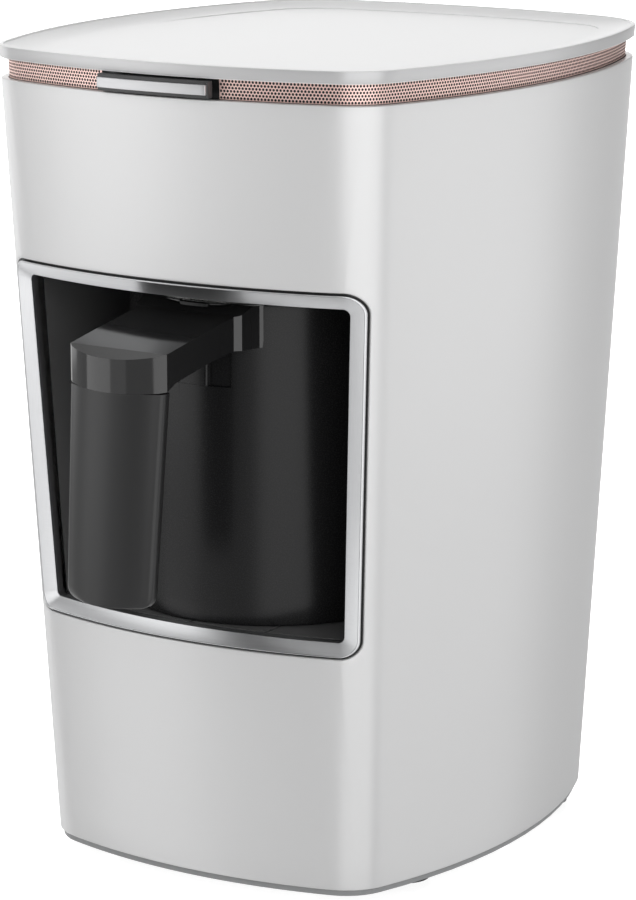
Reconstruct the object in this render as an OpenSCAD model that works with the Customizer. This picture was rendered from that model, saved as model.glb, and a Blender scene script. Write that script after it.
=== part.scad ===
// Electric Turkish coffee maker: a tapered housing with a heated pot that slides out of its chamber.
// Millimetres. +Z is up, the window and the button face -Y.
// The origin is on the table, under the middle of the machine with its pot docked.

/* [Body] */
// Height from the table to the top of the cover
body_h = 262; // [254:1:280]
// Width across the sides at the top
body_w = 172; // [168:1:184]
// Depth from front to rear at the top
body_d = 196; // [190:1:210]
// How much smaller the foot is than the top, in per cent
taper_pct = 15; // [12:0.5:16]
// Bulge of the front face over the whole width
front_bulge = 18.5; // [15:0.5:20]
// Bulge of each side face over the whole depth
side_bulge = 23; // [19:0.5:24]
// Bulge of the rear face over the whole width
rear_bulge = 14; // [10:0.5:17]
// Radius of the two front corners
front_corner_r = 21; // [18:0.5:24]
// Radius of the two rear corners
rear_corner_r = 32; // [27:0.5:35]
// Wall of the outer shell
shell_wall = 2.4; // [2:0.1:3]

/* [Foot] */
// Height of the rubber feet
foot_h = 2; // [1.5:0.1:3]
// Radius of a rubber foot
foot_r = 8; // [6:0.5:9]
// Distance from the side of the base to the middle of a foot
foot_inset = 10.4; // [9:0.2:16]
// Front-to-rear distance between feet
feet_dy = 92; // [84:1:98]
// Edge of the base plate that shows under the shell
base_edge_h = 2; // [1.5:0.1:2.5]
// Height of the base plate's part inside the shell
base_plug_h = 2.2; // [1.8:0.1:3]

/* [Cover and band] */
// Thickness of the cover at its rim
cover_t = 4; // [3.6:0.1:5]
// Width of the flat rim of the cover
rim_land = 1.4; // [1:0.1:2.5]
// Distance from the cover's edge to its flat panel
cover_border = 11; // [8:0.5:14]
// Depth of the cover's panel below its rim
cover_dish = 2.2; // [1.5:0.1:2.4]
// Height of the perforated band
band_h = 6.4; // [6.2:0.1:7.4]
// How far the band sits back from the shell's face
band_inset = 2.6; // [2.2:0.1:3.2]
// Thickness of the band's sheet
band_t = 0.8; // [0.6:0.1:1]

/* [Window] */
// Lower edge of the metal window frame above the table
window_z = 80.4; // [76:0.2:82]
// Height of the window frame
window_h = 114.5; // [112:0.5:120]
// Distance from the body's side to the window frame, both at their top
window_side = 20.5; // [19:0.5:24]
// Width lost from the top of the window frame to its bottom
window_narrowing = 10.7; // [8:0.1:13]
// Corner radius of the window frame
window_r = 6; // [4.5:0.5:8]
// Corner radius of the opening inside the frame
opening_r = 2; // [1:0.5:4]
// Width of the frame's side members
bezel_side = 6.2; // [5.6:0.1:7.4]
// Height of the frame's top member
bezel_top = 5.2; // [4:0.1:6]
// Height of the frame's bottom member
bezel_bottom = 4.3; // [4:0.1:5]
// How far the frame's inner edge lies behind the face of the shell
bezel_sink = 4.1; // [3:0.1:4.6]
// Depth of the frame
bezel_depth = 7.2; // [6.6:0.1:8]

/* [Chamber] */
// Wall of the chamber lining
chamber_wall = 2; // [1.6:0.1:2.4]
// Thickness of the floor tray
tray_t = 4.2; // [3.8:0.1:4.6]
// Distance between the grooves of the floor tray
groove_pitch = 27; // [22:1:30]
// Width of a groove
groove_w = 1.4; // [1:0.1:2]
// Depth of a groove
groove_d = 0.8; // [0.5:0.1:1.2]
// Radius of the sensor's window in the ceiling
eye_r = 8; // [6:0.5:10]
// Thickness of the deck under the chamber
deck_t = 3.4; // [2.6:0.2:4]

/* [Pot] */
// Gap between the foot of the pot and the chamber's side wall
pot_side_gap = 6.2; // [5:0.2:8]
// Gap between the pot's rim and the chamber's ceiling
pot_top_gap = 3.3; // [2.5:0.1:6]
// Radius lost from the pot's foot to its rim
pot_narrowing = 2.4; // [1.5:0.1:3.4]
// Distance from the front of the housing to the front of the pot, at the chamber's floor
pot_setback = 8.5; // [7:0.5:12]
// Wall of the pot's jacket
jacket_wall = 2.2; // [1.8:0.1:2.6]
// Width of the rim between the pot's outside and the inside of the steel cup
rim_w = 6.1; // [5.6:0.1:7.5]
// Radius lost from the steel cup's rim to its bottom
cup_narrowing = 3.5; // [2:0.5:6]
// Height of the cup's bottom above the pot's foot
cup_foot_h = 20; // [19:0.5:26]
// Thickness of the cup's steel
cup_t = 0.8; // [0.6:0.1:1]
// Height of the collar at the pot's rim
collar_h = 11; // [9:0.5:13]

/* [Handle] */
// Width of the handle's arm
handle_w = 35.2; // [30:0.4:38]
// Distance from the foot of the pot to the front of the handle's arm
handle_out = 44; // [39:1:47]
// Radius of the handle's rounded front
handle_front_r = 30; // [24:1:40]
// Height of the arm at its front
arm_nose_h = 10.2; // [9:0.2:12]
// How far the upper edge of the arm's nose lies below the pot's rim
arm_drop = 11.2; // [10:0.2:13]
// How far the arm spreads on each side where it meets the collar
arm_spread = 9; // [5:0.5:12]
// Height of the grip's lower end above the chamber's floor
grip_clear = 15.7; // [12:0.5:22]
// Thickness of the grip at its sides
grip_side_t = 3.6; // [3:0.2:5]
// Radius of the grip's rear face
grip_back_r = 40; // [30:1:60]
// Width of the grip at its top
grip_top_w = 34; // [30:0.5:34.5]
// Width of the grip at its lower end
grip_low_w = 31; // [26:0.5:33]
// Corner radius of the grip's lower end
grip_corner_r = 4; // [3:0.5:8]
// How far the grip's top stands back from the arm's nose
grip_setback = 0.2; // [0:0.1:1.5]
// How far the grip's foot stands ahead of the arm's nose
grip_kick = 4.8; // [2:0.2:6]

/* [Button] */
// Width of the start button's bar
button_w = 40; // [34:1:46]
// Height of the start button's bar
button_h = 5.2; // [4.8:0.1:5.4]
// How far the bar stands out from the shell's face
button_proud = 2.6; // [2:0.1:3.2]
// Travel of the button
button_travel = 1.8; // [1.2:0.1:2]
// Radius of the button's guide stems
stem_r = 1.5; // [1.2:0.1:1.7]
// Distance between the two guide stems
stem_dx = 26; // [22:1:28]

/* [Electrics] */
// Width of the main circuit board
board_w = 80; // [70:1:84]
// Depth of the main circuit board
board_d = 80; // [72:1:84]
// Thickness of the circuit boards
board_t = 1.6; // [1.2:0.2:2]
// Height of the posts under the main board
post_h = 15; // [12:1:20]
// Radius of the hole that the mains cord comes in through
inlet_r = 3.6; // [3:0.1:4]
// Height of the cord inlet above the table
inlet_z = 22; // [18:1:30]
// Width of the pot's plug
plug_w = 40; // [36:1:42]
// Height of the pot's plug
plug_h = 16; // [15:0.5:18]
// Radius of a plug pin
pin_r = 1.3; // [1.1:0.1:1.5]
// Distance between plug pins
pin_dx = 11; // [9:0.5:12]

/* [Fasteners and fits] */
// Radius of a housing screw's shank
screw_r = 1.5; // [1.3:0.1:1.7]
// Radius of a housing screw's head
head_r = 3.2; // [3:0.1:3.6]
// Height of a screw head
head_h = 2; // [1.6:0.1:2.2]
// Length of a cover screw
cover_screw_len = 10; // [8:0.5:11]
// Distance between the screws at the front of the base, and at its rear
base_screw_dx = 76; // [66:2:84]
// Front-to-rear distance between cover screws
cover_screw_dy = 104; // [90:2:112]
// Radial clearance of a screw or a stem in its hole
fit = 0.05; // [0.03:0.01:0.08]
// Radial clearance of a screw in a hole that it only passes through
screw_clear = 0.2; // [0.15:0.05:0.4]
// Gap between pieces that lie next to each other
gap = 0.2; // [0.15:0.05:0.3]
// Gap between the pot and what it slides past
slide_gap = 0.3; // [0.3:0.05:0.5]

/* [Hidden] */

$fn = 64;
// How far a cut runs past the surface that it opens
cut = 1;
// Facets of the large circles that stand for shallow arcs
arc_fn = 360;

// ---- Levels above the table ----
base_z = foot_h;
shell_z = base_z + base_edge_h;
plate_top_z = shell_z + base_plug_h;
cover_z = body_h - cover_t;
band_z = cover_z - band_h;
taper = taper_pct / 100;

// ---- Plan outline of the housing: five blended arcs on each side of the middle ----
function arc_radius(half_chord, bulge) = (half_chord * half_chord + bulge * bulge) / (2 * bulge);
front_r = arc_radius(body_w / 2, front_bulge);
rear_r = arc_radius(body_w / 2, rear_bulge);
side_r = arc_radius(body_d / 2, side_bulge);
front_c = [0, front_r - body_d / 2];
rear_c = [0, body_d / 2 - rear_r];
side_c = [body_w / 2 - side_r, 0];
front_corner_c = circles_meet(front_c, front_r - front_corner_r, side_c, side_r - front_corner_r, 1);
rear_corner_c = circles_meet(rear_c, rear_r - rear_corner_r, side_c, side_r - rear_corner_r, -1);
// Where the front arc passes into the corner's arc
front_arc_x = front_corner_c[0] * front_r / (front_r - front_corner_r);

// The point where two circles cross, on the chosen side of the line between their centres
function circles_meet(c0, r0, c1, r1, side) =
  let (d = norm(c1 - c0), u = (c1 - c0) / d, a = (r0 * r0 - r1 * r1 + d * d) / (2 * d))
  c0 + a * u + side * sqrt(r0 * r0 - a * a) * [-u[1], u[0]];

function bearing(from, to) = atan2(to[1] - from[1], to[0] - from[0]);

// Points of an arc, with its first point left out so that arcs can be chained
function arc_points(c, r, a0, a1, n) =
  [for (i = [1:n]) let (a = a0 + (a1 - a0) * i / n) c + r * [cos(a), sin(a)]];

function right_half(inset) = concat(
  [front_c - [0, front_r - inset]],
  arc_points(front_c, front_r - inset, -90, bearing(front_c, front_corner_c), 12),
  arc_points(front_corner_c, front_corner_r - inset, bearing(front_c, front_corner_c),
    bearing(side_c, front_corner_c), 6),
  arc_points(side_c, side_r - inset, bearing(side_c, front_corner_c), bearing(side_c, rear_corner_c), 12),
  arc_points(rear_corner_c, rear_corner_r - inset, bearing(side_c, rear_corner_c),
    bearing(rear_c, rear_corner_c), 7),
  arc_points(rear_c, rear_r - inset, bearing(rear_c, rear_corner_c), 90, 9));

// A half outline and its mirror image, as one closed loop
function mirrored(half) = let (n = len(half))
  concat(half, [for (i = [n - 2:-1:1]) [-half[i][0], half[i][1]]]);

// The housing narrows evenly towards the table
function scale_at(z) = 1 - taper * (body_h - z) / body_h;
function outline_at(z, inset) = scale_at(z) * mirrored(right_half(inset / scale_at(z)));

// Where the housing's faces lie at a height: the front with its corners, the side and the rear
function plan_front_y(x) = x < front_arc_x
  ? front_c[1] - sqrt(front_r * front_r - x * x)
  : front_corner_c[1] - sqrt(pow(front_corner_r, 2) - pow(x - front_corner_c[0], 2));
function front_y(x, z) = scale_at(z) * plan_front_y(abs(x) / scale_at(z));
function side_x(y, z) = let (s = scale_at(z)) s * side_c[0] + sqrt(pow(s * side_r, 2) - y * y);
function rear_y(x, z) = let (s = scale_at(z)) s * rear_c[1] + sqrt(pow(s * rear_r, 2) - x * x);

module tapered(z0, z1, inset) {
  translate([0, 0, z0])
    linear_extrude(height = z1 - z0, scale = scale_at(z1) / scale_at(z0))
      polygon(outline_at(z0, inset));
}

// A ring of the housing's plan, between two insets
module tapered_ring(z0, z1, outer, inner) {
  difference() {
    tapered(z0, z1, outer);
    tapered(z0 - cut, z1 + cut, inner);
  }
}

// ---- Window frame: a rounded trapezium in the front face ----
window_w = body_w - 2 * window_side;
bezel_lean = atan(window_narrowing / 2 / window_h);
window_top_z = window_z + window_h;
opening_z = window_z + bezel_bottom;
opening_top_z = window_top_z - bezel_top;
function window_half_w(z) = (window_w - window_narrowing * (window_top_z - z) / window_h) / 2;
function opening_half_w(z) = window_half_w(z) - bezel_side;

// Right half of a rounded trapezium in X and Z, from the bottom middle to the top middle
function trapezium_half(z0, z1, half_w0, half_w1, r, n_edge, n_corner, n_side) =
  let (low = [half_w0 - r * (1 - sin(bezel_lean)) / cos(bezel_lean), z0 + r],
    high = [half_w1 - r * (1 + sin(bezel_lean)) / cos(bezel_lean), z1 - r],
    side_a = low + r * [cos(bezel_lean), -sin(bezel_lean)],
    side_b = high + r * [cos(bezel_lean), -sin(bezel_lean)])
  concat(
    [for (i = [0:n_edge]) [low[0] * i / n_edge, z0]],
    arc_points(low, r, -90, -bezel_lean, n_corner),
    [for (i = [1:n_side]) side_a + (side_b - side_a) * i / n_side],
    arc_points(high, r, -bezel_lean, 90, n_corner),
    [for (i = [1:n_edge]) [high[0] * (1 - i / n_edge), z1]]);

function window_loop(grow) = mirrored(trapezium_half(window_z - grow, window_top_z + grow,
  window_half_w(window_z) + grow, window_half_w(window_top_z) + grow, window_r + grow, 10, 6, 4));
function opening_loop() = mirrored(trapezium_half(opening_z, opening_top_z,
  opening_half_w(opening_z), opening_half_w(opening_top_z), opening_r, 10, 6, 4));

// ---- Helpers ----
// Extrudes a drawing in X and Z from y0 back to y1
module front_prism(y0, y1) {
  translate([0, y1, 0]) rotate([90, 0, 0]) linear_extrude(height = y1 - y0) children();
}

// Extrudes a drawing in Y and Z from x0 to x1
module side_prism(x0, x1) {
  translate([x0, 0, 0]) rotate([90, 0, 90]) linear_extrude(height = x1 - x0) children();
}

// A box given by its lowest and highest corners
module block(low, high) {
  translate(low) cube(high - low);
}

// A cylinder along Y, from y0 to y1
module rod_y(x, z, y0, y1, r) {
  translate([x, y1, z]) rotate([90, 0, 0]) cylinder(h = y1 - y0, r = r);
}

// A pan-head screw that points up from its head's underside at the origin
module screw(length, r = screw_r, head = head_r, h = head_h) {
  translate([0, 0, -h]) cylinder(h = h, r = head);
  translate([0, 0, -fit]) cylinder(h = length + fit, r = r);
}

// A closed tube along the given points; up is a direction that the path never follows
function unit(v) = v / norm(v);
function heading(path, i) = unit(
  (i > 0 ? unit(path[i] - path[i - 1]) : [0, 0, 0])
  + (i < len(path) - 1 ? unit(path[i + 1] - path[i]) : [0, 0, 0]));
module tube(path, r, sides, up) {
  n = len(path);
  points = [for (i = [0:n - 1], j = [0:sides - 1])
    let (t = heading(path, i), u = unit(up - (up * t) * t), v = cross(t, u), a = 360 * j / sides)
      path[i] + r * (u * cos(a) + v * sin(a))];
  walls = [for (i = [0:n - 2], j = [0:sides - 1]) let (k = (j + 1) % sides, a = i * sides, b = a + sides)
    each [[a + j, b + j, b + k], [a + j, b + k, a + k]]];
  ends = [[for (j = [0:sides - 1]) j], [for (j = [sides - 1:-1:0]) (n - 1) * sides + j]];
  polyhedron(points = points, faces = concat(walls, ends));
}
module lead(path, r) {
  tube(path, r, 8, [0.62, 0.23, 0.75]);
}

// ---- Places for the pot: its foot stands on the tray ----
floor_z = opening_z;
pot_z = floor_z + slide_gap / 2;
ceiling_z = opening_top_z + 0.5;
rim_z = ceiling_z - pot_top_gap;
pot_h = rim_z - pot_z;
function chamber_half_w(z) = opening_half_w(z);
pot_r = chamber_half_w(floor_z) - pot_side_gap;
pot_top_r = pot_r - pot_narrowing;
function pot_r_at(z) = pot_r - pot_narrowing * (z - pot_z) / pot_h;
pot_y = front_y(0, floor_z) + pot_setback + pot_r;
handle_reach = pot_r + handle_out;

// The docked handle stands out in front, and the plan is shifted back by half of that
front_reach = handle_reach + grip_kick - pot_y;
body_y = (front_reach - body_d / 2) / 2;
module on_body() {
  translate([0, body_y, 0]) children();
}
module on_pot() {
  translate([0, body_y + pot_y, 0]) children();
}

// ---- Chamber: slanted walls that end in a half cone around the pot ----
chamber_z = floor_z - tray_t;
chamber_top_z = ceiling_z + chamber_wall;
liner_inset = bezel_depth + gap;
// The space between the chamber's walls, grown by a margin
module chamber_space(z0, z1, grow) {
  low = chamber_half_w(z0) + grow;
  high = chamber_half_w(z1) + grow;
  translate([0, pot_y, 0]) rotate_extrude(angle = 180)
    polygon([[0, z0], [low, z0], [high, z1], [0, z1]]);
  front_prism(-body_d / 2, pot_y) polygon([[-low, z0], [low, z0], [high, z1], [-high, z1]]);
}

// ---- Socket behind the chamber's rear wall, and the pot's plug that meets it ----
nose_gap = 0.5;
plug_lift = 4;
plug_z = pot_z + plug_lift;
plug_rear_y = sqrt(pow(chamber_half_w(plug_z) - 2 * slide_gap, 2) - pow(plug_w / 2, 2));
plug_len = 11.4;
plug_front_y = plug_rear_y - plug_len;
plug_wall = 2;
recess_d = 6;
nose_w = plug_w - 5;
nose_h = plug_h - 3;
nose_z = plug_z + (plug_h - nose_h) / 2;
nose_tip_y = plug_rear_y - recess_d + nose_gap;
socket_y0 = chamber_half_w(chamber_top_z) + chamber_wall + 1;
socket_len = 12;
socket_flange = 3;
socket_end_y = socket_y0 + socket_len;
lead_slot_y0 = socket_y0 + 3;
lead_slot_y1 = socket_y0 + 8;
lead_slot_half_w = 14;
pin_z = plug_z + plug_h / 2;
contact_r = pin_r + slide_gap;
contact_t = 0.7;
function pin_xs() = [-pin_dx, 0, pin_dx];

// ---- Deck under the chamber, on four legs ----
deck_z = chamber_z - deck_t;
deck_half_w = chamber_half_w(chamber_z) + chamber_wall + 2;
deck_rear_y = pot_y + socket_end_y;
deck_setback = 26;
deck_front_y = front_y(0, chamber_z) + deck_setback;
deck_nose = 12;
leg_r = 5;
leg_inset = 10;
leg_x = deck_half_w - leg_inset;
leg_ys = [deck_front_y + leg_inset, deck_rear_y - leg_inset];
leg_screw_z = 18;
vent_w = 60;
vent_l = 5;
vent_pitch = 12;
function leg_spots() = [for (x = [-leg_x, leg_x], y = leg_ys) [x, y]];

// ---- Screw bosses inside the shell's foot, each with its way to the wall ----
boss_r = 4;
boss_h = 20;
boss_reach = 5;
boss_side_y = 4;
boss_x = base_screw_dx / 2;
boss_side_x = side_x(boss_side_y, plate_top_z) - shell_wall - boss_reach;
boss_front_y = front_y(boss_x, plate_top_z) + shell_wall + boss_reach;
boss_rear_y = rear_y(boss_x, plate_top_z) - shell_wall - boss_reach;
function boss_spots() = [
  [boss_side_x, boss_side_y, 0], [-boss_side_x, boss_side_y, 180],
  [boss_x, boss_front_y, -90], [-boss_x, boss_front_y, -90],
  [boss_x, boss_rear_y, 90], [-boss_x, boss_rear_y, 90]];

// ---- Cord inlet in the rear wall ----
inlet_neck_r = inlet_r + 2.2;
inlet_flange_r = inlet_neck_r + 2.6;
inlet_flange_t = 2.4;
inlet_nut_t = 4;
inlet_tail = 3;
wall_lean = taper * body_d / 2 / body_h;
inlet_rise = wall_lean * inlet_flange_r;
inlet_wall_y = rear_y(0, inlet_z);
inlet_seat_y = inlet_wall_y + inlet_rise + gap;
inlet_end_y = inlet_seat_y + inlet_flange_t;
inlet_nut_y = inlet_wall_y - shell_wall - 2 * inlet_rise - gap - inlet_nut_t;
inlet_tip_y = inlet_nut_y - inlet_tail;

module outer_shell() {
  color("whitesmoke") on_body() difference() {
    union() {
      tapered_ring(shell_z, band_z, 0, shell_wall);
      intersection() {
        for (spot = boss_spots()) translate([spot[0], spot[1], plate_top_z]) rotate([0, 0, spot[2]]) {
          cylinder(h = boss_h, r = boss_r);
          translate([0, -boss_r / 2, 0]) cube([boss_reach + shell_wall, boss_r, boss_h]);
        }
        tapered(shell_z, band_z, shell_wall / 2);
      }
    }
    front_prism(-body_d, -body_d / 4) polygon(window_loop(gap));
    for (spot = boss_spots()) translate([spot[0], spot[1], plate_top_z - cut])
      cylinder(h = leg_screw_z - plate_top_z + cut, r = screw_r + fit);
    rod_y(0, inlet_z, inlet_wall_y - 4 * shell_wall, body_d, inlet_neck_r + gap);
  }
}

// ---- Cover: a rim with a dished panel, screwed on from below ----
cover_boss_r = 4.2;
cover_boss_h = 11;
tab_z = cover_z - cover_boss_h - gap;
tab_t = 3;
tab_r = 6;
tab_inset = 22;
tab_x = body_w / 2 - tab_inset;
function tab_spots() = [for (x = [-tab_x, tab_x], y = [-cover_screw_dy / 2, cover_screw_dy / 2]) [x, y]];
module top_cover() {
  color("white") on_body() difference() {
    union() {
      tapered(cover_z, body_h, 0);
      for (p = tab_spots()) translate([p[0], p[1], cover_z - cover_boss_h])
        cylinder(h = cover_boss_h + cut, r = cover_boss_r);
    }
    // the dish narrows downwards from the rim to the flat panel
    translate([0, 0, body_h]) mirror([0, 0, 1])
      linear_extrude(height = cover_dish, scale = (body_w / 2 - cover_border) / (body_w / 2 - rim_land))
        polygon(outline_at(body_h, rim_land));
    translate([0, 0, body_h - fit]) linear_extrude(height = cut) polygon(outline_at(body_h, rim_land));
    for (p = tab_spots()) translate([p[0], p[1], cover_z - cover_boss_h - cut])
      cylinder(h = cover_screw_len, r = screw_r + fit);
  }
}

// ---- Band of perforated sheet between shell and cover, open at the front for the button ----
button_gap = 1.4;
button_z = band_z + band_h / 2;
module front_slot(half_w, z0) {
  block([-half_w, -body_d, z0], [half_w, -body_d / 3, cover_z + cut]);
}
module perforated_band() {
  color("rosybrown") on_body() difference() {
    tapered_ring(band_z + gap / 2, cover_z - gap / 2, band_inset, band_inset + band_t);
    front_slot(button_w / 2 + button_gap, band_z - cut);
  }
}

// ---- Ring inside the top of the shell that carries band, button and cover ----
frame_skirt = 11;
frame_inner = 8.4;
frame_outer = 1.1 * shell_wall + gap;
housing_half_w = button_w / 2 + 4;
housing_z = button_z - button_h / 2 - 3.4;
housing_top_z = cover_z - gap / 2;
module top_frame() {
  color("black") on_body() difference() {
    union() {
      tapered_ring(band_z - frame_skirt, band_z, frame_outer, frame_inner);
      tapered_ring(band_z - cut, cover_z - gap / 2, band_inset + band_t + gap, frame_inner);
      intersection() {
        for (p = tab_spots()) block([min(p[0], sign(p[0]) * body_w / 2), p[1] - tab_r, tab_z - tab_t],
          [max(p[0], sign(p[0]) * body_w / 2), p[1] + tab_r, tab_z]);
        tapered(band_z - frame_skirt - cut, cover_z, frame_inner - cut);
      }
      for (p = tab_spots()) translate([p[0], p[1], tab_z - tab_t]) cylinder(h = tab_t, r = tab_r);
    }
    front_slot(housing_half_w + gap, housing_z - gap);
    for (p = tab_spots()) translate([p[0], p[1], tab_z - tab_t - cut])
      cylinder(h = tab_t + 2 * cut, r = screw_r + screw_clear);
  }
}

module cover_screws() {
  color("silver") on_body() for (p = tab_spots())
    translate([p[0], p[1], tab_z - tab_t]) screw(cover_screw_len);
}

// A bevelled ring that follows the curved face of the shell
module window_bezel() {
  outer = window_loop(0);
  inner = opening_loop();
  n = len(outer);
  stations = [for (i = [0:n - 1]) let (o = outer[i], p = inner[i],
      oy = front_y(o[0], o[1]), py = front_y(p[0], p[1])) [
    [o[0], oy, o[1]], [p[0], py + bezel_sink, p[1]],
    [p[0], py + bezel_depth, p[1]], [o[0], oy + bezel_depth, o[1]]]];
  color("silver") on_body() polyhedron(
    points = [for (s = stations, p = s) p],
    faces = [for (i = [0:n - 1], j = [0:3]) let (k = (i + 1) % n, m = (j + 1) % 4)
      [4 * i + j, 4 * k + j, 4 * k + m, 4 * i + m]]);
}

module chamber_liner() {
  color("black") on_body() difference() {
    intersection() {
      difference() {
        chamber_space(chamber_z, chamber_top_z, chamber_wall);
        chamber_space(chamber_z - cut, ceiling_z, 0);
      }
      tapered(shell_z, cover_z, liner_inset);
    }
    block([-nose_w / 2 - nose_gap, pot_y + pot_r, nose_z - nose_gap],
      [nose_w / 2 + nose_gap, pot_y + socket_end_y, nose_z + nose_h + nose_gap]);
    translate([0, pot_y, ceiling_z - cut]) cylinder(h = chamber_wall + 2 * cut, r = eye_r + fit);
  }
}

module chamber_floor() {
  color("dimgray") on_body() difference() {
    intersection() {
      chamber_space(chamber_z, floor_z, -gap);
      tapered(shell_z, cover_z, liner_inset);
    }
    for (x = [-groove_pitch, 0, groove_pitch]) block([x - groove_w / 2, -body_d, floor_z - groove_d],
      [x + groove_w / 2, pot_y + chamber_half_w(floor_z) / 2, floor_z + cut]);
  }
}

module support_frame() {
  color("dimgray") on_body() difference() {
    union() {
      block([-deck_half_w, deck_front_y, deck_z], [deck_half_w, deck_rear_y, chamber_z]);
      block([leg_r - leg_x, deck_front_y - deck_nose, deck_z], [leg_x - leg_r, deck_front_y, chamber_z]);
      for (p = leg_spots()) translate([p[0], p[1], plate_top_z])
        cylinder(h = chamber_z - plate_top_z, r = leg_r);
    }
    for (p = leg_spots()) translate([p[0], p[1], plate_top_z - cut])
      cylinder(h = leg_screw_z - plate_top_z + cut, r = screw_r + fit);
    // openings for the socket's leads and for air
    block([-lead_slot_half_w, pot_y + lead_slot_y0, deck_z - cut],
      [lead_slot_half_w, pot_y + lead_slot_y1, chamber_z + cut]);
    for (y = [leg_ys[0] + leg_r:vent_pitch:leg_ys[1] - 4 * leg_r])
      block([-vent_w / 2, y, deck_z - cut], [vent_w / 2, y + vent_l, chamber_z + cut]);
  }
}

// ---- Base plate with the posts of the main board ----
board_y = 8;
post_r = 4;
board_screw_r = 1.25;
board_screw_len = 9;
board_z = plate_top_z + post_h;
board_top_z = board_z + board_t;
function post_spots() = [for (x = [-1, 1], y = [-1, 1])
  [x * (board_w / 2 - post_r), board_y + y * (board_d / 2 - post_r)]];
feet_y = 4;
foot_stud_r = 3;
function feet_spots() = [for (x = [-1, 1], y = [-1, 1])
  [x * (side_x(feet_y + feet_dy / 2, base_z) - foot_inset), feet_y + y * feet_dy / 2]];
plate_inset = 1;
slot_w = 3;
slot_l = 10;
slot_pitch = 8;
slot_n = 3;
slot_y = board_y - board_d / 2 - slot_l - 2;

module base_plate() {
  color("gray") on_body() difference() {
    union() {
      tapered(base_z, shell_z - gap / 2, plate_inset);
      tapered(shell_z - gap, plate_top_z, shell_wall + gap);
      for (p = post_spots()) translate([p[0], p[1], plate_top_z - cut])
        cylinder(h = post_h + cut, r = post_r);
    }
    for (p = concat(boss_spots(), leg_spots())) translate([p[0], p[1], base_z - cut]) {
      cylinder(h = head_h + cut + gap, r = head_r + gap);
      cylinder(h = plate_top_z, r = screw_r + screw_clear);
    }
    for (p = feet_spots()) translate([p[0], p[1], base_z - cut])
      cylinder(h = plate_top_z, r = foot_stud_r + fit);
    for (p = post_spots()) translate([p[0], p[1], board_z - board_screw_len - cut])
      cylinder(h = board_screw_len + 2 * cut, r = board_screw_r + fit);
    for (i = [-slot_n:slot_n]) block([i * slot_pitch - slot_w / 2, slot_y, base_z - cut],
      [i * slot_pitch + slot_w / 2, slot_y + slot_l, plate_top_z + cut]);
  }
}

module rubber_feet() {
  color("dimgray") on_body() for (p = feet_spots()) translate([p[0], p[1], 0]) {
    cylinder(h = foot_h, r = foot_r);
    cylinder(h = plate_top_z, r = foot_stud_r);
  }
}

module base_screws() {
  color("silver") on_body() for (p = concat(boss_spots(), leg_spots()))
    translate([p[0], p[1], base_z + head_h + gap]) screw(leg_screw_z - base_z - head_h - 2 * gap - cut);
}

// ---- Sensor above the pot that sees the foam rise ----
bracket_w = 34;
bracket_t = 2;
bracket_d = 10;
bracket_leg_w = 6;
sensor_w = 14;
sensor_h = 6;
sensor_lens_r = 2.5;
sensor_lens_dx = 7;
module sensor_window() {
  color("darkslategray") on_body() translate([0, pot_y, ceiling_z])
    cylinder(h = chamber_wall, r = eye_r);
}
module sensor_bracket() {
  color("dimgray") on_body() translate([0, pot_y, chamber_top_z]) {
    for (x = [-bracket_w / 2, bracket_w / 2 - bracket_leg_w]) translate([x, -bracket_d / 2, 0])
      cube([bracket_leg_w, bracket_d, sensor_h + 2 * bracket_t]);
    translate([-bracket_w / 2, -bracket_d / 2, sensor_h + bracket_t]) cube([bracket_w, bracket_d, bracket_t]);
  }
}
module foam_sensor() {
  board_low = sensor_h + bracket_t - board_t;
  color("darkgreen") on_body() translate([0, pot_y, chamber_top_z]) {
    translate([-sensor_w / 2, -bracket_d / 2, board_low]) cube([sensor_w, bracket_d, board_t]);
    for (x = [-sensor_lens_dx / 2, sensor_lens_dx / 2]) translate([x, 0, cut])
      cylinder(h = board_low, r = sensor_lens_r);
  }
}

// ---- Control electronics in the plinth ----
relay_size = [20, 16, 15.5];
relay_at = [10, 34];
coil_size = [30, 24, 22];
coil_at = [43, 33];
coil_window = [7, 12];
coil_dx = 16;
can_r = 4;
can_h = 14;
can_dx = 12;
can_y = 14;
buzzer_r = 6;
buzzer_h = 7;
buzzer_at = [14, 14];
terminal_size = [30, 9, 11];
terminal_hole_r = 1.8;
terminal_pitch = 10;
board_corner = [-board_w / 2, board_y - board_d / 2];
terminal_y = board_y + board_d / 2 - terminal_size[1] - 3;

module on_board(at) {
  on_body() translate([board_corner[0] + at[0], board_corner[1] + at[1], board_top_z]) children();
}
module main_board() {
  color("darkgreen") on_body() difference() {
    translate([board_corner[0], board_corner[1], board_z]) cube([board_w, board_d, board_t]);
    for (p = post_spots()) translate([p[0], p[1], board_z - cut])
      cylinder(h = board_t + 2 * cut, r = board_screw_r + screw_clear);
  }
}
module board_screws() {
  color("silver") on_body() for (p = post_spots()) translate([p[0], p[1], board_top_z])
    mirror([0, 0, 1]) screw(board_screw_len, board_screw_r, 0.75 * head_r);
}
module relay() {
  color("royalblue") on_board(relay_at) cube(relay_size);
}
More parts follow.
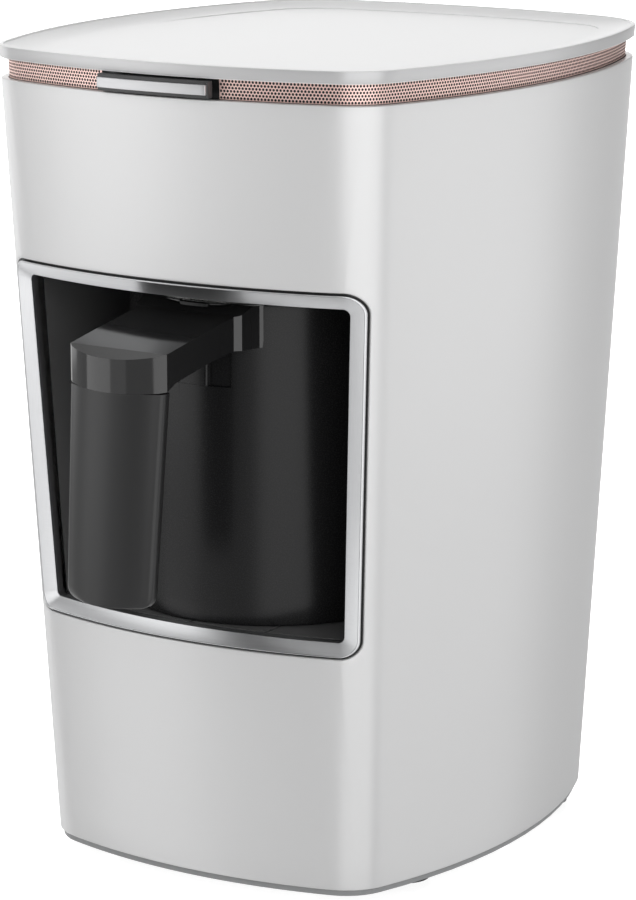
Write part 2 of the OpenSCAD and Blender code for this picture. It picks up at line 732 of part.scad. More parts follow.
// A laminated core with a winding in each of its two windows
module transformer() {
  wire_gap = 0.3;
  low_z = (coil_size[2] - coil_window[1]) / 2;
  color("goldenrod") on_board(coil_at) translate([coil_size[0] / 2, 0, 0]) {
    difference() {
      translate([-coil_size[0] / 2, 0, 0]) cube(coil_size);
      for (x = [-coil_dx / 2, coil_dx / 2]) translate([x - coil_window[0] / 2, -cut, low_z])
        cube([coil_window[0], coil_size[1] + 2 * cut, coil_window[1]]);
    }
    for (x = [-coil_dx / 2, coil_dx / 2]) translate([x - coil_window[0] / 2 + wire_gap, 3, low_z + wire_gap])
      cube([coil_window[0] - 2 * wire_gap, coil_size[1] - 6, coil_window[1] - 2 * wire_gap]);
  }
}
module capacitors() {
  color("slategray") for (x = [-can_dx / 2, can_dx / 2]) on_board([board_w / 2 + x, can_y])
    cylinder(h = can_h, r = can_r);
}
module buzzer() {
  color("black") on_board(buzzer_at) difference() {
    cylinder(h = buzzer_h, r = buzzer_r);
    translate([0, 0, buzzer_h - cut]) cylinder(h = 2 * cut, r = 1);
  }
}
module terminal_block() {
  color("seagreen") on_body() difference() {
    translate([-terminal_size[0] / 2, terminal_y, board_top_z]) cube(terminal_size);
    for (x = [-terminal_pitch, 0, terminal_pitch])
      rod_y(x, board_top_z + 4, terminal_y + 3, terminal_y + terminal_size[1] + cut, terminal_hole_r);
  }
}

// The hole for the mains cord: a bush clamped in the rear wall by a nut
module cord_inlet() {
  color("black") on_body() difference() {
    union() {
      rod_y(0, inlet_z, inlet_seat_y, inlet_end_y, inlet_flange_r);
      rod_y(0, inlet_z, inlet_tip_y, inlet_seat_y + cut, inlet_neck_r);
    }
    rod_y(0, inlet_z, inlet_tip_y - cut, inlet_end_y + cut, inlet_r);
  }
}
module inlet_nut() {
  color("black") on_body() difference() {
    translate([0, inlet_nut_y + inlet_nut_t, inlet_z]) rotate([90, 0, 0])
      cylinder(h = inlet_nut_t, r = inlet_flange_r, $fn = 6);
    rod_y(0, inlet_z, inlet_nut_y - cut, inlet_nut_y + inlet_nut_t + cut, inlet_neck_r + fit);
  }
}

module socket_connector() {
  color("ivory") on_pot() difference() {
    union() {
      block([-nose_w / 2, nose_tip_y, nose_z], [nose_w / 2, socket_end_y, nose_z + nose_h]);
      block([-nose_w / 2 - socket_flange, socket_y0, chamber_z],
        [nose_w / 2 + socket_flange, socket_end_y, nose_z + nose_h]);
    }
    for (x = pin_xs()) rod_y(x, pin_z, nose_tip_y - cut, socket_end_y + cut, contact_r + contact_t);
    block([-lead_slot_half_w, lead_slot_y0, chamber_z - cut], [lead_slot_half_w, lead_slot_y1, pin_z]);
  }
}
module socket_contacts() {
  color("goldenrod") on_pot() for (x = pin_xs()) difference() {
    rod_y(x, pin_z, nose_tip_y + cut, socket_end_y, contact_r + contact_t - fit);
    rod_y(x, pin_z, nose_tip_y - cut, plug_rear_y + plug_wall, contact_r);
    block([x - contact_r, lead_slot_y0 - cut, nose_z], [x + contact_r, lead_slot_y1 + cut, pin_z - 1]);
  }
}
lead_r = 0.9;
lead_start_gap = 1.1;
lead_drop = 8;
lead_rise = 26;
lead_bend_y = 10;
lead_end_gap = 2;
lead_gather = 0.9;
module socket_leads() {
  down_y = pot_y + (lead_slot_y0 + lead_slot_y1) / 2;
  color("firebrick") on_body() for (x = pin_xs())
    lead([[x, down_y, pin_z - lead_start_gap], [x, down_y, deck_z - lead_drop],
      [x, terminal_y - lead_bend_y, board_top_z + lead_rise],
      [lead_gather * x, terminal_y - lead_end_gap, board_top_z + lead_r]], lead_r);
}
// Cable from the main board up behind the chamber to the sensor and the button
harness_r = 1.6;
harness_x = 30;
harness_back = 16;
harness_foot = 20;
harness_step = 12;
harness_over = 24;
harness_turn_y = 10;
harness_lift = 6;
harness_drop = 3;
harness_y = deck_rear_y + harness_back;
harness_top_z = chamber_top_z + harness_over;
branch_r = 0.7;
branch_x = 7;
branch_y = 2;
branch_lift = 4;
module control_harness() {
  end_y = button_board_y + board_t + harness_r;
  sensor_top_z = chamber_top_z + sensor_h + 2 * bracket_t;
  color("dimgray") on_body() {
    lead([[harness_x, harness_y - harness_foot, board_top_z + harness_r],
      [harness_x, harness_y, board_top_z + harness_step], [harness_x, harness_y, harness_top_z],
      [harness_step, harness_turn_y, harness_top_z],
      [harness_step, end_y + harness_r, harness_top_z + harness_lift],
      [harness_step, end_y, button_z - harness_drop]], harness_r);
    lead([[harness_step, pot_y + 2 * branch_y, harness_top_z + harness_r / 2],
      [branch_x, pot_y + branch_y, sensor_top_z + branch_lift],
      [branch_x, pot_y + branch_y, sensor_top_z + branch_r]], branch_r);
  }
}

// ---- Start button: a bar on two stems that slides inwards against two springs ----
band_scale = scale_at(button_z);
function button_face_y(x, inset) = let (r = front_r * band_scale - inset)
  front_c[1] * band_scale - sqrt(r * r - x * x);
housing_y = button_face_y(0, 0) + 15;
housing_front = 2.4 + button_travel;
pocket_wall = 5;
pocket_r = button_h / 2 - fit;
pocket_end_y = housing_y - pocket_wall;
stem_end_y = housing_y + 2.2;
clip_t = 1.2;
clip_end = 0.6;
clip_in = 0.4;
clip_out = 1.1;
face_t = 0.8;
bar_back = 2.2;
dome_h = button_travel + 0.9;
dome_r = 3.2;
dome_top_r = 2;
dome_foot_h = 0.6;
pusher_r = 1.8;
pusher_end_y = housing_y + 1;
button_board_y = pusher_end_y + dome_h + fit;
button_board_w = 32;
function stem_xs() = [-stem_dx / 2, stem_dx / 2];

// Plan of a strip that follows the front arc, between two insets
module front_strip(half_w, inset0, inset1) {
  intersection() {
    translate([0, front_c[1] * band_scale]) difference() {
      circle(r = front_r * band_scale - inset0, $fn = arc_fn);
      circle(r = front_r * band_scale - inset1, $fn = arc_fn);
    }
    translate([-half_w, -body_d]) square([2 * half_w, body_d]);
  }
}
module button_housing() {
  color("black") on_body() difference() {
    translate([0, 0, housing_z]) linear_extrude(height = housing_top_z - housing_z) intersection() {
      translate([0, front_c[1] * band_scale])
        circle(r = front_r * band_scale - housing_front, $fn = arc_fn);
      translate([-housing_half_w, -body_d]) square([2 * housing_half_w, body_d + housing_y]);
    }
    for (x = stem_xs()) {
      rod_y(x, button_z, -body_d, pocket_end_y, pocket_r);
      rod_y(x, button_z, -body_d, housing_y + cut, stem_r + fit);
    }
    rod_y(0, button_z, -body_d, housing_y + cut, pusher_r + slide_gap);
  }
}
module button_bar() {
  root_y = button_face_y(0, bar_back) - cut;
  color("black") on_body() {
    translate([0, 0, button_z - button_h / 2]) linear_extrude(height = button_h)
      front_strip(button_w / 2, face_t - button_proud, bar_back);
    for (x = stem_xs()) difference() {
      rod_y(x, button_z, root_y, stem_end_y, stem_r);
      difference() {
        rod_y(x, button_z, stem_end_y - clip_end - clip_t, stem_end_y - clip_end, stem_r + cut);
        rod_y(x, button_z, stem_end_y - clip_end - clip_t - cut, stem_end_y, stem_r - clip_in);
      }
    }
    rod_y(0, button_z, root_y, pusher_end_y, pusher_r);
  }
}
module button_face() {
  color("silver") on_body() translate([0, 0, button_z - button_h / 2])
    linear_extrude(height = button_h) front_strip(button_w / 2, -button_proud, face_t - button_proud);
}
module stem_clips() {
  color("silver") on_body() for (x = stem_xs()) difference() {
    rod_y(x, button_z, stem_end_y - clip_end - clip_t + fit, stem_end_y - clip_end - fit, stem_r + clip_out);
    rod_y(x, button_z, stem_end_y - clip_end - clip_t - cut, stem_end_y, stem_r - clip_in + fit);
  }
}
// Helical springs around the stems, between the bar and the end of their pockets
spring_wire_r = 0.25;
spring_r = (stem_r + fit + pocket_r) / 2;
spring_turns = 4;
spring_steps = 14;
spring_y0 = button_face_y(stem_dx / 2, bar_back) + slide_gap + spring_wire_r;
spring_len = pocket_end_y - fit - spring_wire_r - spring_y0;
function helix(r, length, turns) = [for (i = [0:turns * spring_steps])
  let (a = 360 * i / spring_steps) [r * cos(a), length * i / (turns * spring_steps), r * sin(a)]];
module button_springs() {
  color("silver") on_body() for (x = stem_xs()) translate([x, spring_y0, button_z])
    tube(helix(spring_r, spring_len, spring_turns), spring_wire_r, 6, [0, 1, 0]);
}
module switch_dome() {
  color("gray") on_body() translate([0, button_board_y - fit, button_z]) rotate([90, 0, 0]) rotate_extrude()
    polygon([[0, 0], [dome_r, 0], [dome_r, dome_foot_h], [dome_top_r, dome_h - fit], [0, dome_h - fit]]);
}
module button_board() {
  half_w = button_board_w / 2;
  color("darkgreen") on_body() {
    difference() {
      block([-half_w, button_board_y, button_z - 4], [half_w, button_board_y + board_t, housing_top_z]);
      for (x = stem_xs())
        rod_y(x, button_z, button_board_y - cut, button_board_y + board_t + cut, stem_r + slide_gap);
    }
    // two feet against the housing
    for (x = [-half_w, half_w - 2.4]) block([x, housing_y, housing_z], [x + 2.4, button_board_y, button_z - 3.4]);
  }
}

// ---- The pot: a jacket with a steel cup, its heater and its plug ----
cup_r = pot_top_r - rim_w;
cup_floor_r = cup_r - cup_narrowing;
cup_floor_z = pot_z + cup_foot_h;
cup_lip_t = 0.8;
cup_lip_w = 3.4;
cup_gap = 0.4;
cup_room_r = cup_r + cup_t + cup_gap;
lip_z = rim_z - cup_lip_t;
collar_z = lip_z - collar_h;
pot_base_t = 3;
pot_head_h = 1.2;
pot_head_z = pot_z + 1.5;
module jacket_section(z0, z1, inset) {
  polygon([[0, z0], [pot_r_at(z0) - inset, z0], [pot_r_at(z1) - inset, z1], [0, z1]]);
}
pot_boss_r = 4;
pot_boss_h = 10;
pot_boss_at = pot_r - jacket_wall - pot_boss_r;
pot_boss_angles = [-90, 30, 150];
function pot_boss_spots() = [for (a = pot_boss_angles) [pot_boss_at * cos(a), pot_boss_at * sin(a), a]];
notch_w = 26;
notch_h = 15;
notch_d = 0.8;

module pot_jacket() {
  color("black") on_pot() difference() {
    union() {
      difference() {
        rotate_extrude() jacket_section(pot_z + gap, collar_z, 0);
        rotate_extrude() jacket_section(pot_z, collar_z + cut, jacket_wall);
      }
      for (p = pot_boss_spots()) translate([p[0], p[1], pot_z + pot_base_t + gap]) rotate([0, 0, p[2]]) {
        cylinder(h = pot_boss_h, r = pot_boss_r);
        translate([0, -pot_boss_r / 2, 0]) cube([pot_boss_r + jacket_wall / 3, pot_boss_r, pot_boss_h]);
      }
    }
    for (p = pot_boss_spots()) translate([p[0], p[1], pot_z])
      cylinder(h = pot_base_t + pot_boss_h - 2, r = screw_r + fit);
    block([-plug_w / 2 - gap, plug_front_y - gap, plug_z - gap],
      [plug_w / 2 + gap, plug_rear_y + cut, plug_z + plug_h + gap]);
    // shallow notch under the handle's arm
    difference() {
      block([-notch_w / 2, -pot_r - cut, collar_z - notch_h], [notch_w / 2, -pot_r / 2, collar_z + cut]);
      cylinder(h = rim_z, r = pot_top_r - notch_d);
    }
  }
}

// The cup's wall is slanted, and its lip lies on the collar
module steel_cup() {
  color("silver") on_pot() rotate_extrude() polygon([
    [0, cup_floor_z - cup_t], [cup_floor_r + cup_t, cup_floor_z - cup_t], [cup_r + cup_t, lip_z],
    [cup_r + cup_lip_w, lip_z], [cup_r + cup_lip_w, rim_z], [cup_r, rim_z], [cup_floor_r, cup_floor_z],
    [0, cup_floor_z]]);
}
seal_w = 1.6;
seal_h = 1.6;
module cup_seal() {
  color("dimgray") on_pot() translate([0, 0, lip_z - seal_h]) difference() {
    cylinder(h = seal_h - fit, r = cup_room_r + seal_w);
    translate([0, 0, -cut]) cylinder(h = seal_h + 2 * cut, r = cup_room_r);
  }
}

// ---- Handle: the collar and its arm are one piece, and the grip hangs from the nose ----
nose_top_z = rim_z - arm_drop;
nose_low_z = nose_top_z - arm_nose_h;
arm_front_y = -handle_reach;
arm_root_y = -pot_top_r - 4;
arm_merge_y = -0.7 * pot_top_r;
arm_root_top_z = rim_z - 3.2;
arm_root_low_z = arm_root_top_z - 11.4;
arm_ridge_y = arm_front_y + 19;
arm_ridge_z = rim_z - 7;
arm_facet = 6;
arm_facet_rise = 2.2;
arm_throat = 11;
arm_throat_rise = 3;
arm_root_step = 5;
rib_w = 2.4;
rib_h = 8;
grip_top_z = nose_low_z - gap / 4;
grip_low_z = floor_z + grip_clear;
grip_len = grip_top_z - grip_low_z;
grip_lean = atan((grip_kick + grip_setback) / grip_len);
module arm_plan() {
  half = handle_w / 2;
  intersection() {
    translate([0, arm_front_y + handle_front_r]) circle(r = handle_front_r, $fn = 2 * $fn);
    translate([-half, arm_front_y - cut]) square([handle_w, handle_front_r]);
  }
  translate([-half, arm_front_y + handle_front_r / 2])
    square([handle_w, handle_reach - handle_front_r / 2 - pot_top_r / 2]);
  // the root spreads onto the collar
  polygon([[half, arm_root_y], [half + arm_spread, arm_merge_y], [-half - arm_spread, arm_merge_y],
    [-half, arm_root_y]]);
}
module arm_side() {
  polygon([[arm_front_y, nose_low_z], [arm_front_y + arm_throat, nose_low_z + arm_throat_rise],
    [arm_root_y, arm_root_low_z], [-pot_top_r / 2, arm_root_low_z], [-pot_top_r / 2, lip_z],
    [arm_root_y + arm_root_step, lip_z], [arm_root_y, arm_root_top_z], [arm_ridge_y, arm_ridge_z],
    [arm_front_y + arm_facet, nose_top_z + arm_facet_rise], [arm_front_y, nose_top_z]]);
}
grip_screw_y = arm_front_y + 7.5;
grip_screw_r = 1.7;
grip_screw_in = 7;
grip_screw_len = 40;
module handle_arm() {
  color("black") on_pot() difference() {
    union() {
      rotate_extrude() polygon([[cup_r, collar_z], [pot_r_at(collar_z), collar_z],
        [pot_r_at(lip_z), lip_z], [cup_r, lip_z]]);
      intersection() {
        translate([0, 0, nose_low_z - cut]) linear_extrude(height = rim_z - nose_low_z + 2 * cut) arm_plan();
        side_prism(-pot_r, pot_r) arm_side();
      }
      // rib under the arm's root
      block([-rib_w / 2, arm_root_y + 0.5, collar_z - rib_h], [rib_w / 2, -pot_top_r - 0.6, collar_z]);
    }
    // room for the cup, the seal and the jacket's upper edge
    translate([0, 0, nose_low_z]) cylinder(h = pot_h, r = cup_room_r);
    translate([0, 0, lip_z - seal_h]) cylinder(h = seal_h + cut, r = cup_room_r + seal_w);
    translate([0, 0, nose_low_z]) cylinder(h = collar_z - nose_low_z, r = pot_r_at(nose_low_z) + fit);
    translate([0, grip_screw_y, nose_low_z - cut]) cylinder(h = grip_screw_in + cut, r = grip_screw_r + fit);
  }
}
// Cross-section of the grip: a lens with flat sides, its front at y = 0
module grip_plan() {
  half = grip_top_w / 2;
  front_sag = handle_front_r - sqrt(handle_front_r * handle_front_r - half * half);
  back_sag = grip_back_r - sqrt(grip_back_r * grip_back_r - half * half);
  intersection() {
    translate([0, handle_front_r]) circle(r = handle_front_r, $fn = 2 * $fn);
    translate([0, front_sag + grip_side_t + back_sag - grip_back_r]) circle(r = grip_back_r, $fn = 2 * $fn);
    translate([-half, -cut]) square([grip_top_w, 2 * handle_front_r]);
  }
}
// Front view of the grip: it narrows towards its rounded foot, at z = 0
module grip_front() {
  corner_x = grip_low_w / 2 - grip_corner_r;
  polygon([[-grip_top_w / 2, grip_len], [-grip_low_w / 2, grip_corner_r], [-corner_x, 0], [corner_x, 0],
    [grip_low_w / 2, grip_corner_r], [grip_top_w / 2, grip_len]]);
  for (x = [-corner_x, corner_x]) translate([x, grip_corner_r]) circle(r = grip_corner_r);
}
module handle_grip() {
  color("black") on_pot() difference() {
    intersection() {
      translate([0, arm_front_y + grip_setback, grip_top_z]) rotate([-grip_lean, 0, 0])
        translate([0, 0, -grip_len - grip_corner_r]) linear_extrude(height = grip_len + 2 * grip_corner_r)
          grip_plan();
      front_prism(2 * arm_front_y, 0) translate([0, grip_low_z]) grip_front();
    }
    translate([0, grip_screw_y, grip_top_z - grip_screw_len])
      cylinder(h = grip_screw_len + cut, r = grip_screw_r + fit);
    translate([0, grip_screw_y, grip_low_z - cut])
      cylinder(h = grip_len - grip_screw_len + cut, r = head_r + gap);
  }
}
module grip_screw() {
  color("silver") on_pot() translate([0, grip_screw_y, grip_top_z - grip_screw_len])
    screw(grip_screw_len + grip_screw_in - 2 * gap, grip_screw_r);
}

module pot_base() {
  color("dimgray") on_pot() difference() {
    translate([0, 0, pot_z]) cylinder(h = pot_base_t, r = pot_r - jacket_wall - gap);
    for (p = pot_boss_spots()) translate([p[0], p[1], pot_z - cut]) {
      cylinder(h = pot_head_z - pot_z + cut, r = head_r + gap);
      cylinder(h = pot_base_t + 2 * cut, r = screw_r + screw_clear);
    }
  }
}
module pot_base_screws() {
  color("silver") on_pot() for (p = pot_boss_spots()) translate([p[0], p[1], pot_head_z])
    screw(pot_boss_h - 2, h = pot_head_h);
}
heater_t = 4;
heater_r = cup_floor_r - 3;
heater_z = cup_floor_z - cup_t - fit - heater_t;
element_h = 2.4;
thermostat_r = 8;
thermostat_h = 7;
tab_w = 2;
tab_dx = 12;
module heater_plate() {
  color("darkgray") on_pot() translate([0, 0, heater_z]) {
    cylinder(h = heater_t, r = heater_r);
    translate([0, 0, -element_h]) difference() {
      cylinder(h = element_h + gap, r = heater_r - 6);
      translate([0, 0, -cut]) cylinder(h = element_h + 2 * cut, r = heater_r - 12);
    }
  }
}
module thermostat() {
  color("ivory") on_pot() translate([0, 0, heater_z - thermostat_h]) {
    cylinder(h = thermostat_h - fit, r = thermostat_r);
    for (x = [-tab_dx / 2, tab_dx / 2]) translate([x - tab_w / 2, -1.5, -3]) cube([tab_w, 3, 3 + gap]);
  }
}
module pot_plug() {
  color("black") on_pot() difference() {
    block([-plug_w / 2, plug_front_y, plug_z], [plug_w / 2, plug_rear_y, plug_z + plug_h]);
    block([-nose_w / 2 - nose_gap, plug_rear_y - recess_d, nose_z - nose_gap],
      [nose_w / 2 + nose_gap, plug_rear_y + cut, nose_z + nose_h + nose_gap]);
    for (x = pin_xs()) rod_y(x, pin_z, plug_front_y - cut, plug_rear_y, pin_r + fit);
    // the plug's front corners stay clear of the jacket's screw bosses
    for (p = pot_boss_spots()) translate([p[0], p[1], plug_z - cut])
      cylinder(h = plug_h + 2 * cut, r = pot_boss_r + cut);
  }
}
pin_tail = 2.5;
module plug_pins() {
  color("goldenrod") on_pot() for (x = pin_xs())
    rod_y(x, pin_z, plug_front_y - pin_tail, plug_rear_y - nose_gap, pin_r);
}
pot_lead_r = 0.8;
module pot_leads() {
  tail_y = plug_front_y - pin_tail;
  color("firebrick") on_pot() for (x = [-1, 1])
    lead([[x * pin_dx, tail_y - cut, pin_z], [x * pin_dx, tail_y - 4.5, pin_z - 1],
      [x * tab_dx / 2, thermostat_r, heater_z - thermostat_h - 2],
      [x * tab_dx / 2, 0, heater_z - thermostat_h - 4.2]], pot_lead_r);
}

outer_shell();
top_cover();
perforated_band();
top_frame();
window_bezel();
chamber_liner();
chamber_floor();
support_frame();
base_plate();
rubber_feet();
base_screws();
cover_screws();
sensor_window();
foam_sensor();
sensor_bracket();
main_board();
board_screws();
relay();
transformer();
capacitors();
buzzer();
terminal_block();
cord_inlet();
inlet_nut();
socket_connector();
socket_contacts();
socket_leads();
control_harness();
button_housing();
button_bar();
button_face();
stem_clips();
button_springs();
switch_dome();
button_board();
pot_jacket();
steel_cup();
cup_seal();
handle_arm();
handle_grip();
grip_screw();
pot_base();
pot_base_screws();
heater_plate();
thermostat();
pot_plug();
plug_pins();
pot_leads();
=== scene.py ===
# %% [markdown]
# # A coffee maker with a sliding electric pot
# This lesson dresses an engineered model of a small coffee maker. The solids arrive as a fixed frame:
# their places and sizes are settled, and every cell below only adds surfaces and finishes around them.
# Everything is in metres, +Z is up, and the window and the handle face -Y.

# %% Load the frame
import math
import bpy
import bmesh
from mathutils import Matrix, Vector


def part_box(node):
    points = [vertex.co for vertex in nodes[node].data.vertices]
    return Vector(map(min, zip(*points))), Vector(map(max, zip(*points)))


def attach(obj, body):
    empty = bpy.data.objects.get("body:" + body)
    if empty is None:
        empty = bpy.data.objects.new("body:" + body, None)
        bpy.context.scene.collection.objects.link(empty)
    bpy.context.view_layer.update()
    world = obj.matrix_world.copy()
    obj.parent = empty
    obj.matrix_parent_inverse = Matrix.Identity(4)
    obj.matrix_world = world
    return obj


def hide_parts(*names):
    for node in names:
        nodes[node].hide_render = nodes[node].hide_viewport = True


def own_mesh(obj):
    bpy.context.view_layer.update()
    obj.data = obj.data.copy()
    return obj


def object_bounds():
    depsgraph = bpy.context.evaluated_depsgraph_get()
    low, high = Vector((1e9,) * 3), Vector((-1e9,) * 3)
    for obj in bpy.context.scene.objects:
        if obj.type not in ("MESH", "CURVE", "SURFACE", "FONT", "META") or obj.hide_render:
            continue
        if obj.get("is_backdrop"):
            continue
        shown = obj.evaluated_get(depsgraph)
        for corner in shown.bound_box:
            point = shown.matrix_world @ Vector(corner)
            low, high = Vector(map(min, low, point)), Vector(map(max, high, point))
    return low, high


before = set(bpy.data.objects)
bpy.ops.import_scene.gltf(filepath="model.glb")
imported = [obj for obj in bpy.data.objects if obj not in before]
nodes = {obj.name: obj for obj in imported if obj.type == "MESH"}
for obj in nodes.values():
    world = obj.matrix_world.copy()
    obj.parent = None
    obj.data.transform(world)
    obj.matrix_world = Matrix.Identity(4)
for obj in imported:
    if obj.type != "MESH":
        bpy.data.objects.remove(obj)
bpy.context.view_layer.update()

# %% [markdown]
# ## The size of the housing
# The housing is a tube that narrows evenly towards the table. Its plan is made of five arcs on each side
# of the middle, and the same plan, scaled, gives every level. The overall sizes are read from the
# frame's own cover, so that the lesson's surfaces can't drift away from the solids.

# %% Driving sizes, in metres
MM = 0.001
QUARTER = math.pi / 2
cover_low, cover_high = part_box("top_cover")
shell_low, shell_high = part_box("outer_shell")
width = cover_high.x - cover_low.x
depth = cover_high.y - cover_low.y
height = cover_high.z
middle_y = (cover_low.y + cover_high.y) / 2
taper = 0.15
front_bulge, side_bulge, rear_bulge = 18.5 * MM, 23 * MM, 14 * MM
front_corner, rear_corner = 21 * MM, 32 * MM
shell_wall = 2.4 * MM
print("width, depth, height in mm:", [round(v / MM, 1) for v in (width, depth, height)])

# %% [markdown]
# ## The plan as one path
# A lofted surface needs the same number of points at each level. If the plan is a function of the
# distance walked along it, any level and any inset comes from that one function. The walk starts in the
# middle of the front and ends in the middle of the rear, and a negative distance walks the other side.

# %% The plan of the housing
def arc_radius(half_chord, bulge):
    return (half_chord ** 2 + bulge ** 2) / (2 * bulge)


def circles_meet(c0, r0, c1, r1, side):
    span = (c1 - c0).length
    along = (c1 - c0) / span
    reach = (r0 ** 2 - r1 ** 2 + span ** 2) / (2 * span)
    rise = side * math.sqrt(r0 ** 2 - reach ** 2)
    return c0 + along * reach + Vector((-along.y, along.x)) * rise


def bearing(start, end):
    return math.atan2(end.y - start.y, end.x - start.x)


front_r, rear_r = arc_radius(width / 2, front_bulge), arc_radius(width / 2, rear_bulge)
side_r = arc_radius(depth / 2, side_bulge)
front_c, rear_c = Vector((0, front_r - depth / 2)), Vector((0, depth / 2 - rear_r))
side_c = Vector((width / 2 - side_r, 0))
front_cc = circles_meet(front_c, front_r - front_corner, side_c, side_r - front_corner, 1)
rear_cc = circles_meet(rear_c, rear_r - rear_corner, side_c, side_r - rear_corner, -1)
ARCS = [
    (front_c, front_r, -QUARTER, bearing(front_c, front_cc)),
    (front_cc, front_corner, bearing(front_c, front_cc), bearing(side_c, front_cc)),
    (side_c, side_r, bearing(side_c, front_cc), bearing(side_c, rear_cc)),
    (rear_cc, rear_corner, bearing(side_c, rear_cc), bearing(rear_c, rear_cc)),
    (rear_c, rear_r, bearing(rear_c, rear_cc), QUARTER),
]
arc_lengths = [radius * (end - start) for _, radius, start, end in ARCS]
half_walk = sum(arc_lengths)
print("once around the top in mm:", round(2 * half_walk / MM, 1))


# %% A point of the housing from distance, height and inset
SAME_PLACE = 1e-9


def scale_at(z):
    return 1 - taper * (height - z) / height


def housing_point(walk, z, inset=0.0):
    """The point at a distance along the plan; walk runs from -half_walk to half_walk."""
    mirror = -1 if walk < 0 else 1
    left = min(abs(walk), half_walk)
    for (centre, radius, start, end), length in zip(ARCS, arc_lengths):
        if left <= length + SAME_PLACE:
            break
        left -= length
    angle = start + left / radius
    s = scale_at(z)
    reach = radius * s - inset
    x = s * centre.x + reach * math.cos(angle)
    y = s * centre.y + reach * math.sin(angle)
    return Vector((mirror * x, y + middle_y, z))


def walk_of(x, z):
    """The distance along the plan of a point of the front, from its x and its height."""
    flat = abs(x) / scale_at(z)
    if flat < front_c.x + front_r * math.cos(ARCS[0][3]):
        walk = front_r * math.asin(flat / front_r)
    else:
        turn = -math.acos((flat - front_cc.x) / front_corner)
        walk = arc_lengths[0] + front_corner * (turn - ARCS[1][2])
    return math.copysign(walk, x)


def front_point(x, z, back=0.0):
    """A point of the front face at x and z, pushed back along +Y."""
    point = housing_point(walk_of(x, z), z)
    point.y += back
    return point


print("front edge at the table:", [round(v, 4) for v in housing_point(0, shell_low.z)])


# %% [markdown]
# ## Meshes from rows of points
# Most of the pieces here are sheets of quads: rows of points, joined to the next row. One helper gives
# even steps, another makes such a sheet in a bmesh, and another welds the sheets where their edges meet
# and turns the mesh into an object that rides on a body of the frame.

# %% Even steps
def evenly(start, end, count):
    """Values in equal steps from start to end, with both ends."""
    return [start + (end - start) * k / count for k in range(count + 1)]


def full_turn(count):
    """Angles once around, without the last one, which is the first again."""
    return evenly(0, 2 * math.pi, count)[:-1]


print("a quarter turn in three steps, in degrees:", [round(math.degrees(a)) for a in evenly(0, QUARTER, 3)])


# %% Sheets and caps
def sheet(bm, rows, closed=False):
    """Joins rows of points with quads; closed rows end where they start."""
    grid = [[bm.verts.new(p) for p in row] for row in rows]
    for low, high in zip(grid[:-1], grid[1:]):
        count = len(low)
        for i in range(count if closed else count - 1):
            j = (i + 1) % count
            bm.faces.new((low[i], low[j], high[j], high[i]))
    return grid


def closed_sheet(bm, rows):
    """A sheet of closed rows, with one face over its first row and one over its last."""
    grid = sheet(bm, rows, closed=True)
    bm.faces.new(grid[0])
    bm.faces.new(list(reversed(grid[-1])))


def cap(bm, ring, centre):
    """Closes a ring with a fan around its centre."""
    hub = bm.verts.new(centre)
    for i, vert in enumerate(ring):
        bm.faces.new((vert, ring[(i + 1) % len(ring)], hub))


# %% Welding and riding
WELD_DISTANCE, NO_LENGTH = 2e-6, 1e-7


def new_object(name, data):
    obj = bpy.data.objects.new(name, data)
    bpy.context.scene.collection.objects.link(obj)
    return obj


def mesh_object(name, bm):
    mesh = bpy.data.meshes.new(name)
    bm.to_mesh(mesh)
    bm.free()
    return new_object(name, mesh)


def piece(name, bm, body, finish, sharp, replaces):
    """Welds a bmesh and makes it an object that rides on a body. Edges that turn by more than the sharp
    angle, in degrees, stay crisp."""
    bmesh.ops.remove_doubles(bm, verts=bm.verts, dist=WELD_DISTANCE)
    bmesh.ops.dissolve_degenerate(bm, edges=bm.edges, dist=NO_LENGTH)
    bmesh.ops.recalc_face_normals(bm, faces=bm.faces)
    obj = mesh_object(name, bm)
    mesh = obj.data
    mesh.shade_smooth()
    mesh.set_sharp_from_angle(angle=math.radians(sharp))
    mesh.materials.append(finish)
    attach(obj, body)
    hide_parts(*replaces)
    print(f"{name}: {len(mesh.vertices)} points, {len(mesh.polygons)} faces")
    return obj


# %% A second finish on part of a piece
def second_finish(obj, finish, chosen):
    """Gives another finish to the faces that pass the test."""
    obj.data.materials.append(finish)
    faces = [face for face in obj.data.polygons if chosen(face)]
    for face in faces:
        face.material_index = len(obj.data.materials) - 1
    print(f"{obj.name}: {len(faces)} faces in {finish.name}")


# %% [markdown]
# ## Writing shaders as sums
# A node tree is a formula, so it can be written as one. The class below wraps a socket: adding or
# multiplying two wrapped sockets adds a Math node. Every other node comes from one method, which takes
# the node's type, its settings and then its inputs.

# %% A socket that can be added, multiplied and mixed
class Wire:
    """A node's output, to be used in sums as a number is."""
    def __init__(self, finish, socket):
        self.finish, self.socket = finish, socket

    def math(self, operation, *values):
        return self.finish.node("ShaderNodeMath", {"operation": operation}, dict(enumerate(values)))

    def __add__(self, other):
        return self.math("ADD", self, other)

    def __sub__(self, other):
        return self.math("SUBTRACT", self, other)

    def __mul__(self, other):
        return self.math("MULTIPLY", self, other)

    def __radd__(self, other):
        return self.math("ADD", other, self)

    def __rsub__(self, other):
        return self.math("SUBTRACT", other, self)

    def __rmul__(self, other):
        return self.math("MULTIPLY", other, self)

    def above(self, edge, soft):
        """0 below the edge, 1 above it, with a soft step between."""
        return self.finish.node("ShaderNodeMapRange", {"interpolation_type": "SMOOTHSTEP"}, {
            "Value": self, "From Min": edge - soft, "From Max": edge + soft})

    def size(self):
        return self.math("ABSOLUTE", self)


